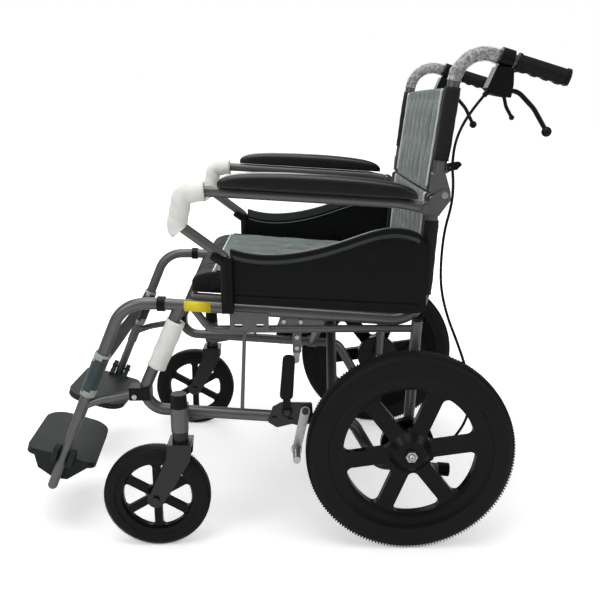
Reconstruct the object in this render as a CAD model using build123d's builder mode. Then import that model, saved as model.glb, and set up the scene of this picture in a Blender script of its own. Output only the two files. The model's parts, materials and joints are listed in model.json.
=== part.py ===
"""Folding transport wheelchair with attendant brakes, in millimetres.

The chair faces -Y, +Z is up, the floor is z = 0 and x = 0 is the middle plane.
The origin lies on the floor, midway along and across the chair.
The side at +X, the occupant's left, is modelled and then mirrored.
The two side frames are joined by a cross brace that folds like scissors.
"""
import os
from math import atan2, cos, degrees, radians, sin, sqrt, tan

from build123d import *

os.makedirs("parts", exist_ok=True)

# Side frames
half_frame = 240.0          # middle plane to the centre of the side frame tubes
tube = 22.0                 # main tubes
wall = 1.6
under_tube = 14.0           # thin rail under the seat rail
rake = 4.2                  # seat and lower rails fall to the rear, in degrees
seat_rail_height = 446.0    # rail centre above the floor at y = 0
lower_rail_height = 240.0
rail_front = -200.0         # where the seat rail ends and the leg hanger starts
cane_foot = 273.0           # where the lines of seat rail and back cane cross
cane_bend = 55.0
cane_lean = 3.5             # lower back cane, in degrees from upright
cane_top = seat_rail_height + 198
leg_top = -166.0            # front leg where it meets the seat rail
leg_lean = 24.4             # front leg slopes forward on its way down, in degrees
leg_bend = 38.0
tail_start = 150.0          # where the lower rail turns down
tail_low = (200.0, lower_rail_height - 99)  # y, z of the lower corner of the tail
tail_end = (333.0, lower_rail_height - 113)
tail_bend = 32.0
under_rail_height = seat_rail_height - 34
under_rail_start = -146.0
under_rail_corner = -114.0
under_rail_bend = 26.0
post_tube = 20.0
rod_y = -50.0               # thin upright between the under rail and the lower rail
rod_size = 7.0

# Rear wheels
axle_y = 253.0
rear_radius = 192.0
rear_x = half_frame + 52
rear_tyre_width = 42.0
rear_rim_radius = 150.0
rear_window_radius = 123.0
rear_spoke = 31.0           # width of a spoke
rear_spoke_turn = 8.0       # the first spoke, in degrees from the level
rear_hub_radius = 27.0
rear_hub_inner = rear_x - 23.5  # x of the hub's inner and outer faces
rear_hub_outer = rear_x + 19
axle_size = 12.0
drum_radius = 50.0
drum_face = rear_x - 40     # x of the fixed brake cover's inner face
drum_depth = 15.5
running = 0.3               # clearance between turning pieces

# Casters
caster_radius = 100.0
caster_x = half_frame + 40
caster_tyre_width = 32.0
caster_rim_radius = 78.0
caster_window_radius = 64.0
caster_spoke = 15.0
caster_hub_radius = 17.0
swivel_y = -170.0
caster_trail = 47.0         # the hub lies this far ahead of the swivel axis
housing_size = 32.0
housing_bottom = lower_rail_height - 10
housing_top = lower_rail_height + 36
stem_size = 12.0
fork_gap = 38.0             # between the blades
fork_blade = 4.0

# Leg hanger and footplate
hanger_corner = -271.0
hanger_bend = 60.0
hanger_lean = 23.4          # in degrees from upright
hanger_end = lower_rail_height - 2      # where the foot tube leaves the hanger
foot_tube = 18.4
foot_tube_end = 100.0
strut_tube = 15.0
strut_height = lower_rail_height + 22   # where the strut meets the hanger
pin_height = 167.0          # footplate hinge pin
plate_tilt = 17.0           # the footplate's front edge is the higher one
plate_width = half_frame - 58
plate_front = 76.0          # footplate ahead of and behind the pin
plate_rear = 60.0
plate_drop = 15.0           # top face below the pin
plate_deep = 13.0
plate_skin = 4.0

# Cross brace
seat_tube_x = half_frame - 32
seat_tube_lift = 6.0        # seat tube above the seat rail
brace_a_y = 113.0
brace_b_y = 87.0
sleeve_size = 28.0
sleeve_length = 22.0
seat_tube_front = -165.0
seat_tube_rear = 176.0
brace_arm = 20.0
fan_along = 0.72            # where the fan strut leaves its arm, along the arm
fan_front = -20.0

# Seat, back and calf strap
cushion_thick = 44.0
cushion_front = -168.0
cushion_rear = 236.0
cushion_half = half_frame - 21
soft_gap = 0.4
sleeve_wall = 2.0
back_thick = 20.0
slab_inset = 22.0           # from the cane's centre to the padded panel's edge
lower_back = (seat_rail_height + 32, seat_rail_height + 166)    # heights of the panel's ends
upper_back = (seat_rail_height + 270, seat_rail_height + 392)
strap_heights = (seat_rail_height - 161, seat_rail_height - 80)
strap_thick = 5.0

# Armrests
arm_x = half_frame + 26
arm_tube = 19.0
arm_pivot = (268.0, seat_rail_height + 191)
arm_under_rear = (222.0, seat_rail_height + 200)
arm_front_top = (-150.0, seat_rail_height + 223)
arm_front_low = (-163.0, seat_rail_height + 166)
arm_knee = (-77.0, seat_rail_height + 102)
arm_foot = seat_rail_height + 20
pad_front = -88.0
pad_rear = 250.0
pad_half = 22.5
pad_x = arm_x + 13
pad_thick = 24.0
pad_arch = 9.0
panel_face = arm_x - 10      # x of the panel's inner face
panel_thick = 7.0
panel_band = 16.0
panel_relief = 5.0

# Upper back and push handles
hinge_y = 303.0
hinge_z = cane_top + 13
release_y = 311.0           # pivot of the release lever
release_z = hinge_z + 47
release_half = 9.0
upper_cane_foot = (291.0, hinge_z + 15)
upper_cane_lean = 6.9
handle_corner = hinge_z + 250   # height where the cane's and the handle's lines cross
handle_bend = 50.0
handle_fall = 16.5          # handles slope down to the rear, in degrees
handle_end = 500.0
grip_size = 31.0
grip_start = 416.0
clamp_y = 398.0
lever_pivot = (396.0, handle_corner - 73)
lever_ball = (half_frame + 24, 468.0, lever_pivot[1] - 69)
lever_ball_size = 17.0
lever_thick = 8.0
catch_ball_size = 9.0
cable_size = 5.0

# Wheel lock
lock_plate_x = half_frame + tube / 2
lock_plate = 4.0
lock_pivot = (27.0, lower_rail_height + 16)
shoe_pivot = (61.0, lower_rail_height + 18)
shoe_centre = (45.0, rear_radius - 12)
shoe_size = 14.0

rake_slope = tan(radians(rake))
bore = tube - 2 * wall
rail_axis = Vector(0, cos(radians(rake)), -sin(radians(rake)))
rail_normal = Vector(0, sin(radians(rake)), cos(radians(rake)))
left_side = {}
whole_width = {}


def seat_rail_z(y):
    """Height of the seat rail's centre line."""
    return seat_rail_height - y * rake_slope


def lower_rail_z(y):
    """Height of the lower rail's centre line."""
    return lower_rail_height - y * rake_slope


def on_frame(y, z, x=half_frame):
    """A point in a side frame's plane."""
    return Vector(x, y, z)


def tube_along(points, bends, outer, inner=0.0, mode=Mode.ADD):
    """Add a tube, or a rod, along straight runs joined by tangent bends."""
    with BuildLine() as route:
        if bends:
            FilletPolyline(*points, radius=bends)
        else:
            Line(*points)
    with BuildSketch(Plane(origin=route.line @ 0, z_dir=route.line % 0)) as section:
        Circle(outer / 2)
        if inner:
            Circle(inner / 2, mode=Mode.SUBTRACT)
    sweep(section.sketch, path=route.line, mode=mode)


def cross_rod(y, z, x_from, x_to, outer, inner=0.0, mode=Mode.ADD):
    """Add a rod or a ring that lies along X."""
    with BuildSketch(Plane.YZ.offset(x_from)) as section:
        with Locations((y, z)):
            Circle(outer / 2)
            if inner:
                Circle(inner / 2, mode=Mode.SUBTRACT)
    extrude(section.sketch, amount=x_to - x_from, mode=mode)


def side_plate(points, x_from, x_to, corner=0.0, mode=Mode.ADD):
    """Add a plate of the given y, z outline that is as thick as x_to less x_from."""
    with BuildSketch(Plane.YZ.offset(x_from)) as section:
        with BuildLine():
            Polyline(*points, close=True)
        make_face()
        if corner:
            fillet(section.vertices(), corner)
    extrude(section.sketch, amount=x_to - x_from, mode=mode)


def block(x_range, y_range, z_range, mode=Mode.ADD):
    """Add a box between the given limits."""
    middle = [(low + high) / 2 for low, high in (x_range, y_range, z_range)]
    size = [high - low for low, high in (x_range, y_range, z_range)]
    with Locations(tuple(middle)):
        Box(*size, mode=mode)


def hex_head(y, z, x_from, x_to, across, mode=Mode.ADD):
    """Add a hexagonal head or nut whose axis lies along X."""
    with BuildSketch(Plane.YZ.offset(x_from)) as section:
        with Locations((y, z)):
            RegularPolygon(across / 2, 6, major_radius=False)
    extrude(section.sketch, amount=x_to - x_from, mode=mode)


def brace_point(x, rise, along):
    """A point at a distance along the lower rails, above them and across the chair."""
    return Vector(x, 0, lower_rail_height) + rail_axis * along + rail_normal * rise


brace_rise = (seat_rail_height - lower_rail_height) * cos(radians(rake)) + seat_tube_lift

# Centre lines of the side frame
rail_end = on_frame(rail_front, seat_rail_z(rail_front))
cane_corner = on_frame(cane_foot, seat_rail_z(cane_foot))
cane_rise = tan(radians(cane_lean))


def cane_y(z):
    """The lower back cane's centre at a height."""
    return cane_foot + (z - seat_rail_z(cane_foot)) * cane_rise


upper_route = [rail_end, cane_corner, on_frame(cane_y(cane_top), cane_top)]
leg_slope = tan(radians(leg_lean))
leg_low = (leg_top - (seat_rail_z(leg_top) - lower_rail_height) * leg_slope) / (1 + rake_slope * leg_slope)
leg_corner = on_frame(leg_low, lower_rail_z(leg_low))
lower_route = [
    on_frame(leg_top, seat_rail_z(leg_top)),
    leg_corner,
    on_frame(tail_start, lower_rail_z(tail_start)),
    on_frame(*tail_low),
    on_frame(*tail_end),
]
lower_bends = [leg_bend, tail_bend, tail_bend]

with BuildPart() as upper_frame:
    tube_along(upper_route, [cane_bend], tube, bore)
left_side["upper_frame"] = upper_frame

# Front leg, lower rail and tipping tail are one bent tube, with the caster housing
with BuildPart() as lower_frame:
    tube_along(lower_route, lower_bends, tube, bore)
    tube_along(upper_route, [cane_bend], tube, mode=Mode.SUBTRACT)
    housing_web = (half_frame, caster_x)
    block(housing_web, (swivel_y - 12, swivel_y + 12), (housing_bottom + 4, housing_top - 6))
    side_plate(
        [(swivel_y + 2, housing_bottom), (swivel_y + 62, lower_rail_z(swivel_y + 62) - tube / 3),
         (swivel_y + 2, lower_rail_z(swivel_y))],
        half_frame - 3, half_frame + 3)
    with BuildSketch(Plane.XY.offset(housing_bottom)) as housing:
        with Locations((caster_x, swivel_y)):
            Circle(housing_size / 2)
    extrude(housing.sketch, amount=housing_top - housing_bottom)
    with BuildSketch(Plane.XY.offset(housing_bottom)) as housing_bore:
        with Locations((caster_x, swivel_y)):
            Circle(stem_size / 2 + running)
    extrude(housing_bore.sketch, amount=housing_top - housing_bottom, mode=Mode.SUBTRACT)
    tube_along(lower_route, lower_bends, bore, mode=Mode.SUBTRACT)
left_side["lower_frame"] = lower_frame

# Rear post, under rail and plates are welded to both tubes
post_top = on_frame(cane_y(seat_rail_z(cane_foot)) - 7, seat_rail_z(cane_foot))
post_foot = on_frame(axle_y, tail_low[1] + (tail_end[1] - tail_low[1]) * 0.4)
under_route = [
    on_frame(under_rail_start, seat_rail_z(under_rail_start)),
    on_frame(under_rail_corner, under_rail_height),
    on_frame(axle_y + 6, under_rail_height),
]
plate_y = (-76.0, -5.0)
gusset_low = under_rail_height - 7
gusset_outline = [(4, gusset_low), (18, seat_rail_z(18) - 3), (95, seat_rail_z(95) - 3), (95, gusset_low)]
with BuildPart() as under_frame:
    tube_along(under_route, [under_rail_bend], under_tube, under_tube - 2 * wall)
    tube_along([post_top, post_foot], [], post_tube, post_tube - 2 * wall)
    side_plate(gusset_outline, half_frame - 1.5, half_frame + 1.5)
    side_plate([(38, gusset_low - 39), (54, gusset_low - 39), (54, gusset_low + 5), (38, gusset_low + 5)],
               half_frame - 1.5, half_frame + 1.5, 3)
    rod_foot = on_frame(rod_y - 8, lower_rail_z(rod_y - 8))
    tube_along([on_frame(rod_y, under_rail_height), rod_foot], [], rod_size)
    cross_rod(axle_y, rear_radius, half_frame - 12, drum_face, 22)
    tube_along(upper_route, [cane_bend], tube, mode=Mode.SUBTRACT)
    tube_along(lower_route, lower_bends, tube, mode=Mode.SUBTRACT)
    cross_rod(axle_y, rear_radius, half_frame - 12, drum_face, axle_size, mode=Mode.SUBTRACT)
    # Slotted plate that hooks over the seat rail from outside
    hook = half_frame + tube / 2
    side_plate(
        [(plate_y[0], seat_rail_z(plate_y[0]) - 2), (plate_y[1], seat_rail_z(plate_y[1]) - 2),
         (plate_y[1], under_rail_height + 2), (plate_y[0], under_rail_height + 2)],
        hook, hook + 2.5)
    for slot_y in (plate_y[0] + 16, plate_y[1] - 16):
        with BuildSketch(Plane.YZ.offset(hook - 1)) as slot:
            with Locations((slot_y, under_rail_height + 10)):
                SlotOverall(15, 5)
        extrude(slot.sketch, amount=6, mode=Mode.SUBTRACT)
    block((half_frame, hook), (plate_y[0] + 2, plate_y[1] - 2),
          (under_rail_height - 1, under_rail_height + 4))
    tube_along(under_route, [under_rail_bend], under_tube - 2 * wall, mode=Mode.SUBTRACT)
left_side["under_frame"] = under_frame

# Leg hanger with its strut, and the foot tube that telescopes in it
hanger_slope = tan(radians(hanger_lean))


def hanger_y(z):
    """The hanger's centre line at a height, below its bend."""
    return hanger_corner - (rail_end.Z - z) * hanger_slope


hanger_foot = on_frame(hanger_y(hanger_end), hanger_end)
hanger_route = [rail_end, on_frame(hanger_corner, rail_end.Z), hanger_foot]
leg_direction = (leg_corner - lower_route[0]).normalized()
clamp_drop = seat_rail_z(leg_top) - lower_rail_height - 51
clamp_on_leg = lower_route[0] + leg_direction * (clamp_drop / -leg_direction.Z)
strut_route = [
    on_frame(hanger_y(strut_height), strut_height),
    on_frame(hanger_y(strut_height) + 36, strut_height + 13),
    on_frame(clamp_on_leg.Y - 9, clamp_on_leg.Z - 3),
]
with BuildPart() as leg_hanger:
    tube_along(hanger_route, [hanger_bend], tube, bore)
    tube_along(strut_route, [70], strut_tube, strut_tube - 2 * wall)
    tube_along(hanger_route, [hanger_bend], bore, mode=Mode.SUBTRACT)
    tube_along(upper_route, [cane_bend], tube, mode=Mode.SUBTRACT)
    hinge_line = Vector(0, cos(radians(hanger_lean)), -sin(radians(hanger_lean)))
    pin_centre = on_frame(hanger_y(pin_height), pin_height)
    tube_along(
        [on_frame(hanger_y(hanger_end + 55), hanger_end + 55), on_frame(hanger_y(foot_tube_end), foot_tube_end)],
        [], foot_tube, foot_tube - 2 * wall)
    with Locations(on_frame(hanger_y(foot_tube_end), foot_tube_end)):
        Sphere(foot_tube / 2)
    tube_along([pin_centre - hinge_line * tube, pin_centre + hinge_line * tube], [], 6 + 2 * running,
               mode=Mode.SUBTRACT)
left_side["leg_hanger"] = leg_hanger

# Black plastic fittings of the side frame
saddle_places = (-95.0, 160.0)
saddle_length = 24.0
socket_top = arm_foot - running
with BuildPart() as frame_fittings:
    tube_along([rail_end - Vector(0, 7, 0), rail_end + rail_axis * 7], [], 28)
    clamp_half = 15.0
    block((half_frame - clamp_half, half_frame + clamp_half),
          (clamp_on_leg.Y - 24, clamp_on_leg.Y + 15), (clamp_on_leg.Z - 13, clamp_on_leg.Z + 12))
    for saddle_y in saddle_places:
        saddle = Plane(origin=(0, saddle_y, seat_rail_z(saddle_y)), x_dir=(1, 0, 0), z_dir=-rail_axis)
        with BuildSketch(saddle.offset(-saddle_length / 2)) as shape:
            with BuildLine():
                Polyline((seat_tube_x - 14, -tube / 2), (seat_tube_x - 14, seat_tube_lift - 0.5),
                         (half_frame - 9, seat_tube_lift - 0.5), (half_frame - 9, -tube / 2), close=True)
            make_face()
        extrude(shape.sketch, amount=saddle_length)
    block((half_frame, arm_x + 10), (arm_knee[0] - 10, arm_knee[0] + 10),
          (seat_rail_z(arm_knee[0]) - 1, socket_top))
    with BuildSketch(Plane.XY.offset(housing_top)) as cap:
        with Locations((caster_x, swivel_y)):
            Circle(housing_size / 2)
    extrude(cap.sketch, amount=26, taper=4)
    tail_way = (lower_route[-1] - lower_route[-2]).normalized()
    tube_along([lower_route[-1] - tail_way * 16, lower_route[-1] + tail_way * 5], [], tube + 4)
    tube_along(upper_route, [cane_bend], tube, mode=Mode.SUBTRACT)
    tube_along(lower_route, lower_bends, tube, mode=Mode.SUBTRACT)
    tube_along(hanger_route, [hanger_bend], tube, mode=Mode.SUBTRACT)
    tube_along(strut_route, [70], strut_tube, mode=Mode.SUBTRACT)
    tube_along([brace_point(seat_tube_x, brace_rise, seat_tube_front),
                brace_point(seat_tube_x, brace_rise, seat_tube_rear)], [], tube + 2 * running, mode=Mode.SUBTRACT)
left_side["frame_fittings"] = frame_fittings


# Caster: fork with its stem and axle bolt, rim and tyre
hub_y = swivel_y - caster_trail
caster_hub = Vector(caster_x, hub_y, caster_radius)
with BuildPart() as caster_fork:
    with BuildSketch(Plane.XY.offset(2 * caster_radius + 3)) as crown:
        with Locations((caster_x, swivel_y)):
            RectangleRounded(fork_gap + 2 * fork_blade, 44, 10)
    extrude(crown.sketch, amount=7)
    with BuildSketch(Plane.XY.offset(2 * caster_radius + 10)) as collar:
        with Locations((caster_x, swivel_y)):
            Circle(housing_size / 2 - 1)
    extrude(collar.sketch, amount=housing_bottom - running - 2 * caster_radius - 10)
    with BuildSketch(Plane.XY.offset(housing_bottom - 2)) as stem:
        with Locations((caster_x, swivel_y)):
            Circle(stem_size / 2)
    extrude(stem.sketch, amount=housing_top - housing_bottom - 1)
    for blade_x in (caster_x - fork_gap / 2 - fork_blade, caster_x + fork_gap / 2):
        with BuildSketch(Plane.YZ.offset(blade_x)) as blade:
            with BuildLine():
                Polyline((swivel_y - 22, 2 * caster_radius + 10), (swivel_y + 22, 2 * caster_radius + 10),
                         (swivel_y + 19, 2 * caster_radius - 22), (hub_y + 14, caster_radius - 9),
                         (hub_y - 9, caster_radius + 13), (swivel_y - 24, 2 * caster_radius - 16), close=True)
            make_face()
            with Locations((hub_y, caster_radius)):
                Circle(16)
        extrude(blade.sketch, amount=fork_blade)
    cross_rod(hub_y, caster_radius, caster_x - fork_gap / 2 - 1, caster_x + fork_gap / 2 + 1, 8)
    for nut_x in (caster_x - fork_gap / 2 - fork_blade - 5, caster_x + fork_gap / 2 + fork_blade):
        hex_head(hub_y, caster_radius, nut_x, nut_x + 5, 13)
left_side["caster_fork"] = caster_fork


def wheel_windows(centre, x_from, x_to, windows, reach, spoke, corner, turn):
    """Cut rounded triangular windows, evenly spaced, between a wheel's spokes."""
    half = radians(180 / windows)
    tip = spoke / 2 / sin(half)
    edge = sqrt(reach ** 2 - (tip * sin(half)) ** 2) - tip * cos(half)
    side_point = (tip + edge * cos(half), edge * sin(half))
    wheel_plane = Plane(origin=(x_from, centre.Y, centre.Z), x_dir=(0, 1, 0), z_dir=(1, 0, 0))
    with BuildSketch() as window:
        with BuildLine():
            Line((tip, 0), side_point)
            ThreePointArc(side_point, (reach, 0), (side_point[0], -side_point[1]))
            Line((side_point[0], -side_point[1]), (tip, 0))
        make_face()
        fillet(window.vertices(), corner)
    with BuildSketch(wheel_plane) as pattern:
        with PolarLocations(0, windows, start_angle=turn + 180 / windows):
            add(window.sketch)
    extrude(pattern.sketch, amount=x_to - x_from, mode=Mode.SUBTRACT)


def turned(centre, outline, mode=Mode.ADD):
    """Add a piece turned about the X axis through a point; outline is x offset, radius."""
    section_plane = Plane(origin=centre, x_dir=(1, 0, 0), z_dir=(0, -1, 0))
    with BuildSketch(section_plane) as section:
        with BuildLine():
            Polyline(*outline, close=True)
        make_face()
    revolve(section.sketch, axis=Axis(centre, (1, 0, 0)), mode=mode)


caster_bore = 4 + running
half_seat = caster_tyre_width / 2 - 3
with BuildPart() as caster_rim:
    turned(caster_hub, [(-half_seat, caster_rim_radius), (half_seat, caster_rim_radius),
                        (half_seat - 2, caster_window_radius + 3), (5, caster_window_radius),
                        (5, caster_hub_radius + 4), (fork_gap / 2 - running, caster_hub_radius - 4),
                        (fork_gap / 2 - running, caster_bore), (-fork_gap / 2 + running, caster_bore),
                        (-fork_gap / 2 + running, caster_hub_radius - 4), (-5, caster_hub_radius + 4),
                        (-5, caster_window_radius), (2 - half_seat, caster_window_radius + 3)])
    wheel_windows(caster_hub, caster_x - 6, caster_x + 6, 6, caster_window_radius, caster_spoke, 6, 90)
left_side["caster_rim"] = caster_rim


def tyre(centre, seat_radius, radius, width, shoulder):
    """Add a tyre with rounded shoulders that seats on a rim."""
    section_plane = Plane(origin=centre, x_dir=(1, 0, 0), z_dir=(0, -1, 0))
    with BuildSketch(section_plane) as section:
        with Locations((0, (radius + seat_radius) / 2)):
            Rectangle(width, radius - seat_radius)
        fillet(section.vertices().group_by(Axis.Y)[-1], shoulder)
        fillet(section.vertices().group_by(Axis.Y)[0], 3)
    revolve(section.sketch, axis=Axis(centre, (1, 0, 0)))


with BuildPart() as caster_tyre:
    tyre(caster_hub, caster_rim_radius, caster_radius, caster_tyre_width, 12)
left_side["caster_tyre"] = caster_tyre

# Rear wheel and the fixed cover of its band brake
rear_hub = Vector(rear_x, axle_y, rear_radius)
inner = rear_hub_inner - rear_x
outer = rear_hub_outer - rear_x
rim_half = rear_tyre_width / 2 - 3
axle_bore = axle_size / 2 + running
drum_inner = drum_radius - 6
with BuildPart() as rear_rim:
    turned(rear_hub, [(-rim_half, rear_rim_radius), (rim_half, rear_rim_radius),
                      (rim_half - 3, rear_rim_radius - 8), (12, rear_window_radius + 7),
                      (7, rear_window_radius - 1), (7, rear_hub_radius + 12), (outer, rear_hub_radius),
                      (outer, axle_bore), (inner, axle_bore), (inner, rear_hub_radius + 6),
                      (-7, rear_hub_radius + 12), (-7, rear_window_radius - 1),
                      (-12, rear_window_radius + 7), (3 - rim_half, rear_rim_radius - 8)])
    turned(rear_hub, [(inner + 0.5, axle_bore), (inner + 0.5, drum_inner - 3),
                      (inner - drum_depth + 5, drum_inner - 3), (inner - drum_depth + 5, drum_inner - 7),
                      (inner - 3, drum_inner - 7), (inner - 3, axle_bore)])
    wheel_windows(rear_hub, rear_x - 9, rear_x + 9, 6, rear_window_radius, rear_spoke, 11, rear_spoke_turn)
left_side["rear_rim"] = rear_rim

with BuildPart() as rear_tyre:
    tyre(rear_hub, rear_rim_radius, rear_radius, rear_tyre_width, 17)
left_side["rear_tyre"] = rear_tyre

cover_depth = drum_depth - 2
arm_end = (axle_y + 44, rear_radius - 26)
cover_gland = Vector(drum_face + 10, arm_end[0] - 3, arm_end[1] + 3)
cover_gland_way = Vector(0, 0.85, 0.53).normalized()
with BuildPart() as brake_cover:
    cross_rod(axle_y, rear_radius, drum_face, drum_face + cover_depth, 2 * drum_radius)
    side_plate([(axle_y + 20, rear_radius - 48), (arm_end[0] + 8, arm_end[1] - 10),
                (arm_end[0] + 8, arm_end[1] + 8), (axle_y + 40, rear_radius + 10)],
               drum_face, drum_face + 6, 5)
    tube_along([cover_gland, cover_gland + cover_gland_way * 9], [], 9)
    cross_rod(axle_y, rear_radius, drum_face + 3, drum_face + cover_depth, 2 * drum_inner, mode=Mode.SUBTRACT)
    cross_rod(axle_y, rear_radius, drum_face, drum_face + cover_depth, axle_size, mode=Mode.SUBTRACT)
left_side["brake_cover"] = brake_cover

# Wheel lock: plate on the lower rail, handle, and arm with its shoe
lock_face = lock_plate_x + lock_plate
with BuildPart() as lock_bracket:
    side_plate([(lock_pivot[0] + across, lock_pivot[1] + up) for across, up in
                ((-36, -22), (-27, 8), (-11, 17), (47, 16), (49, -16), (33, -32), (9, -26), (-19, -33))],
               lock_plate_x, lock_face, 4)
    for bolt_y in (3, 33):
        cross_rod(bolt_y, lower_rail_z(bolt_y), lock_face, lock_face + 4, 10)
    for pivot in (lock_pivot, shoe_pivot):
        cross_rod(*pivot, lock_face, lock_face + 9, 7)
        cross_rod(*pivot, lock_face + 7, lock_face + 9, 12)
left_side["lock_bracket"] = lock_bracket

arm_thick = 5.0
arm_from = lock_face + running
arm_to = arm_from + arm_thick
lock_y, lock_z = lock_pivot
with BuildPart() as lock_handle:
    side_plate([(lock_y - 14, lock_z + 25), (lock_y + 11, lock_z + 25), (lock_y + 16, lock_z + 110),
                (lock_y - 7, lock_z + 110)], arm_to - 12, arm_to + 4, 9)
    fillet(lock_handle.faces().filter_by(Axis.X).edges(), 4)
    side_plate([(lock_y - 9, lock_z - 6), (lock_y + 9, lock_z - 4), (lock_y + 6, lock_z + 30),
                (lock_y - 7, lock_z + 30)], arm_from, arm_to, 5)
    cross_rod(*lock_pivot, arm_from, arm_to, 20)
    cross_rod(*lock_pivot, arm_from, arm_to, 7 + 2 * running, mode=Mode.SUBTRACT)
left_side["lock_handle"] = lock_handle

with BuildPart() as lock_shoe:
    side_plate([(shoe_pivot[0] - 9, shoe_pivot[1]), (shoe_pivot[0] + 9, shoe_pivot[1]),
                (shoe_centre[0] + 8, shoe_centre[1]), (shoe_centre[0] - 8, shoe_centre[1])], arm_from, arm_to)
    cross_rod(*shoe_pivot, arm_from, arm_to, 18)
    cross_rod(*shoe_pivot, arm_from, arm_to, 7 + 2 * running, mode=Mode.SUBTRACT)
    cross_rod(*shoe_centre, arm_from, rear_x + 12, shoe_size)
    cross_rod(*shoe_centre, arm_from - 2, arm_to + 3, shoe_size + 6)
left_side["lock_shoe"] = lock_shoe

# Footplate that flips up about a pin through its ears and the foot tube
ear_size = 25.0
ear_from = foot_tube / 2 + 1.5
ear_to = ear_from + 10
plate_normal = (0, sin(radians(plate_tilt)), cos(radians(plate_tilt)))
plate_plane = Plane(origin=pin_centre, x_dir=(1, 0, 0), z_dir=plate_normal)
plate_outer = -foot_tube / 2 - 2.5
plate_inner = plate_outer - plate_width
with BuildPart() as footplate:
    with BuildSketch(plate_plane.offset(-plate_drop - plate_deep)) as outline:
        with BuildLine():
            Polyline((plate_outer, -plate_front), (plate_outer, plate_rear),
                     (plate_inner, plate_rear - 14), (plate_inner, -plate_front - 8), close=True)
        make_face()
        fillet(outline.vertices().sort_by(Axis.X)[:2], 42)
        fillet(outline.vertices().sort_by(Axis.X)[-2:], 18)
    extrude(outline.sketch, amount=plate_deep)
    with BuildSketch(plate_plane.offset(-plate_drop - plate_deep)) as hollow:
        with BuildLine():
            Polyline((plate_outer, -plate_front), (plate_outer, plate_rear),
                     (plate_inner, plate_rear - 14), (plate_inner, -plate_front - 8), close=True)
        make_face()
        fillet(hollow.vertices().sort_by(Axis.X)[:2], 42)
        fillet(hollow.vertices().sort_by(Axis.X)[-2:], 18)
        offset(amount=-plate_skin, mode=Mode.REPLACE)
        with GridLocations(44, 0, 4, 1):
            with Locations((plate_inner / 2 + 2, 0)):
                Rectangle(3, 2 * plate_front + 40, mode=Mode.SUBTRACT)
    extrude(hollow.sketch, amount=plate_deep - plate_skin, mode=Mode.SUBTRACT)
    # Deep moulded skirt along the outer edge
    skirt_plane = Plane(origin=pin_centre, x_dir=plate_plane.y_dir, z_dir=(1, 0, 0))
    with BuildSketch(skirt_plane.offset(plate_outer - plate_skin)) as skirt:
        with BuildLine():
            Polyline((-plate_front + 14, -plate_drop - 6), (-plate_front + 30, -52), (-12, -66), (14, -62),
                     (plate_rear - 8, -plate_drop - 6), close=True)
        make_face()
    extrude(skirt.sketch, amount=plate_skin)
    ear_plane = Plane(origin=pin_centre, x_dir=(1, 0, 0), z_dir=hinge_line)
    for ear_start in (-ear_to, ear_from):
        with BuildSketch(ear_plane.offset(ear_start)) as ear:
            Circle(ear_size / 2)
            with BuildLine():
                Polyline((ear_size / 2, 0), (ear_size / 2 - 3, plate_drop + 9), (plate_outer - 8, plate_drop + 9),
                         (plate_outer - 14, plate_drop - 2), (-ear_size / 2, 0), close=True)
            make_face()
        extrude(ear.sketch, amount=10)
    pin_reach = hinge_line * (ear_to + 2)
    tube_along([pin_centre - pin_reach, pin_centre + pin_reach], [], 6)
left_side["footplate"] = footplate

# Armrest: bent tube, pad, and side panel with the sleeve on the front upright
arm_route = [Vector(arm_x, *point) for point in
             (arm_pivot, arm_under_rear, arm_front_top, arm_front_low, arm_knee, (arm_knee[0], arm_foot))]
arm_bends = [30, 28, 26, 30]
eye_half = 9.8
with BuildPart() as armrest_tube:
    tube_along(arm_route, arm_bends, arm_tube, arm_tube - 2 * wall)
    cross_rod(*arm_pivot, arm_x - eye_half, arm_x + eye_half, arm_tube + 3)
    cross_rod(*arm_pivot, arm_x - eye_half, arm_x + eye_half, 8 + 2 * running, mode=Mode.SUBTRACT)
left_side["armrest_tube"] = armrest_tube

arm_slope = (arm_under_rear[1] - arm_front_top[1]) / (arm_under_rear[0] - arm_front_top[0])


def pad_z(y):
    """Height of the armrest pad's underside."""
    return arm_under_rear[1] + (y - arm_under_rear[0]) * arm_slope + arm_tube / 2 + 0.1


with BuildPart() as armrest_pad:
    with BuildSketch(Plane.YZ.offset(pad_x - pad_half)) as pad_profile:
        pad_middle = (pad_front + pad_rear) / 2
        with BuildLine():
            Polyline((pad_front, pad_z(pad_front) + 17), (pad_front, pad_z(pad_front)),
                     (pad_rear, pad_z(pad_rear)), (pad_rear, pad_z(pad_rear) + 19))
            ThreePointArc((pad_rear, pad_z(pad_rear) + 19),
                          (pad_middle, pad_z(pad_middle) + pad_thick + pad_arch),
                          (pad_front, pad_z(pad_front) + 17))
        make_face()
        fillet(pad_profile.vertices().group_by(Axis.Y)[-1], 8)
        fillet(pad_profile.vertices(), 5)
    extrude(pad_profile.sketch, amount=2 * pad_half)
    fillet(armrest_pad.faces().filter_by(Axis.X).edges(), 4)
left_side["armrest_pad"] = armrest_pad

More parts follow.
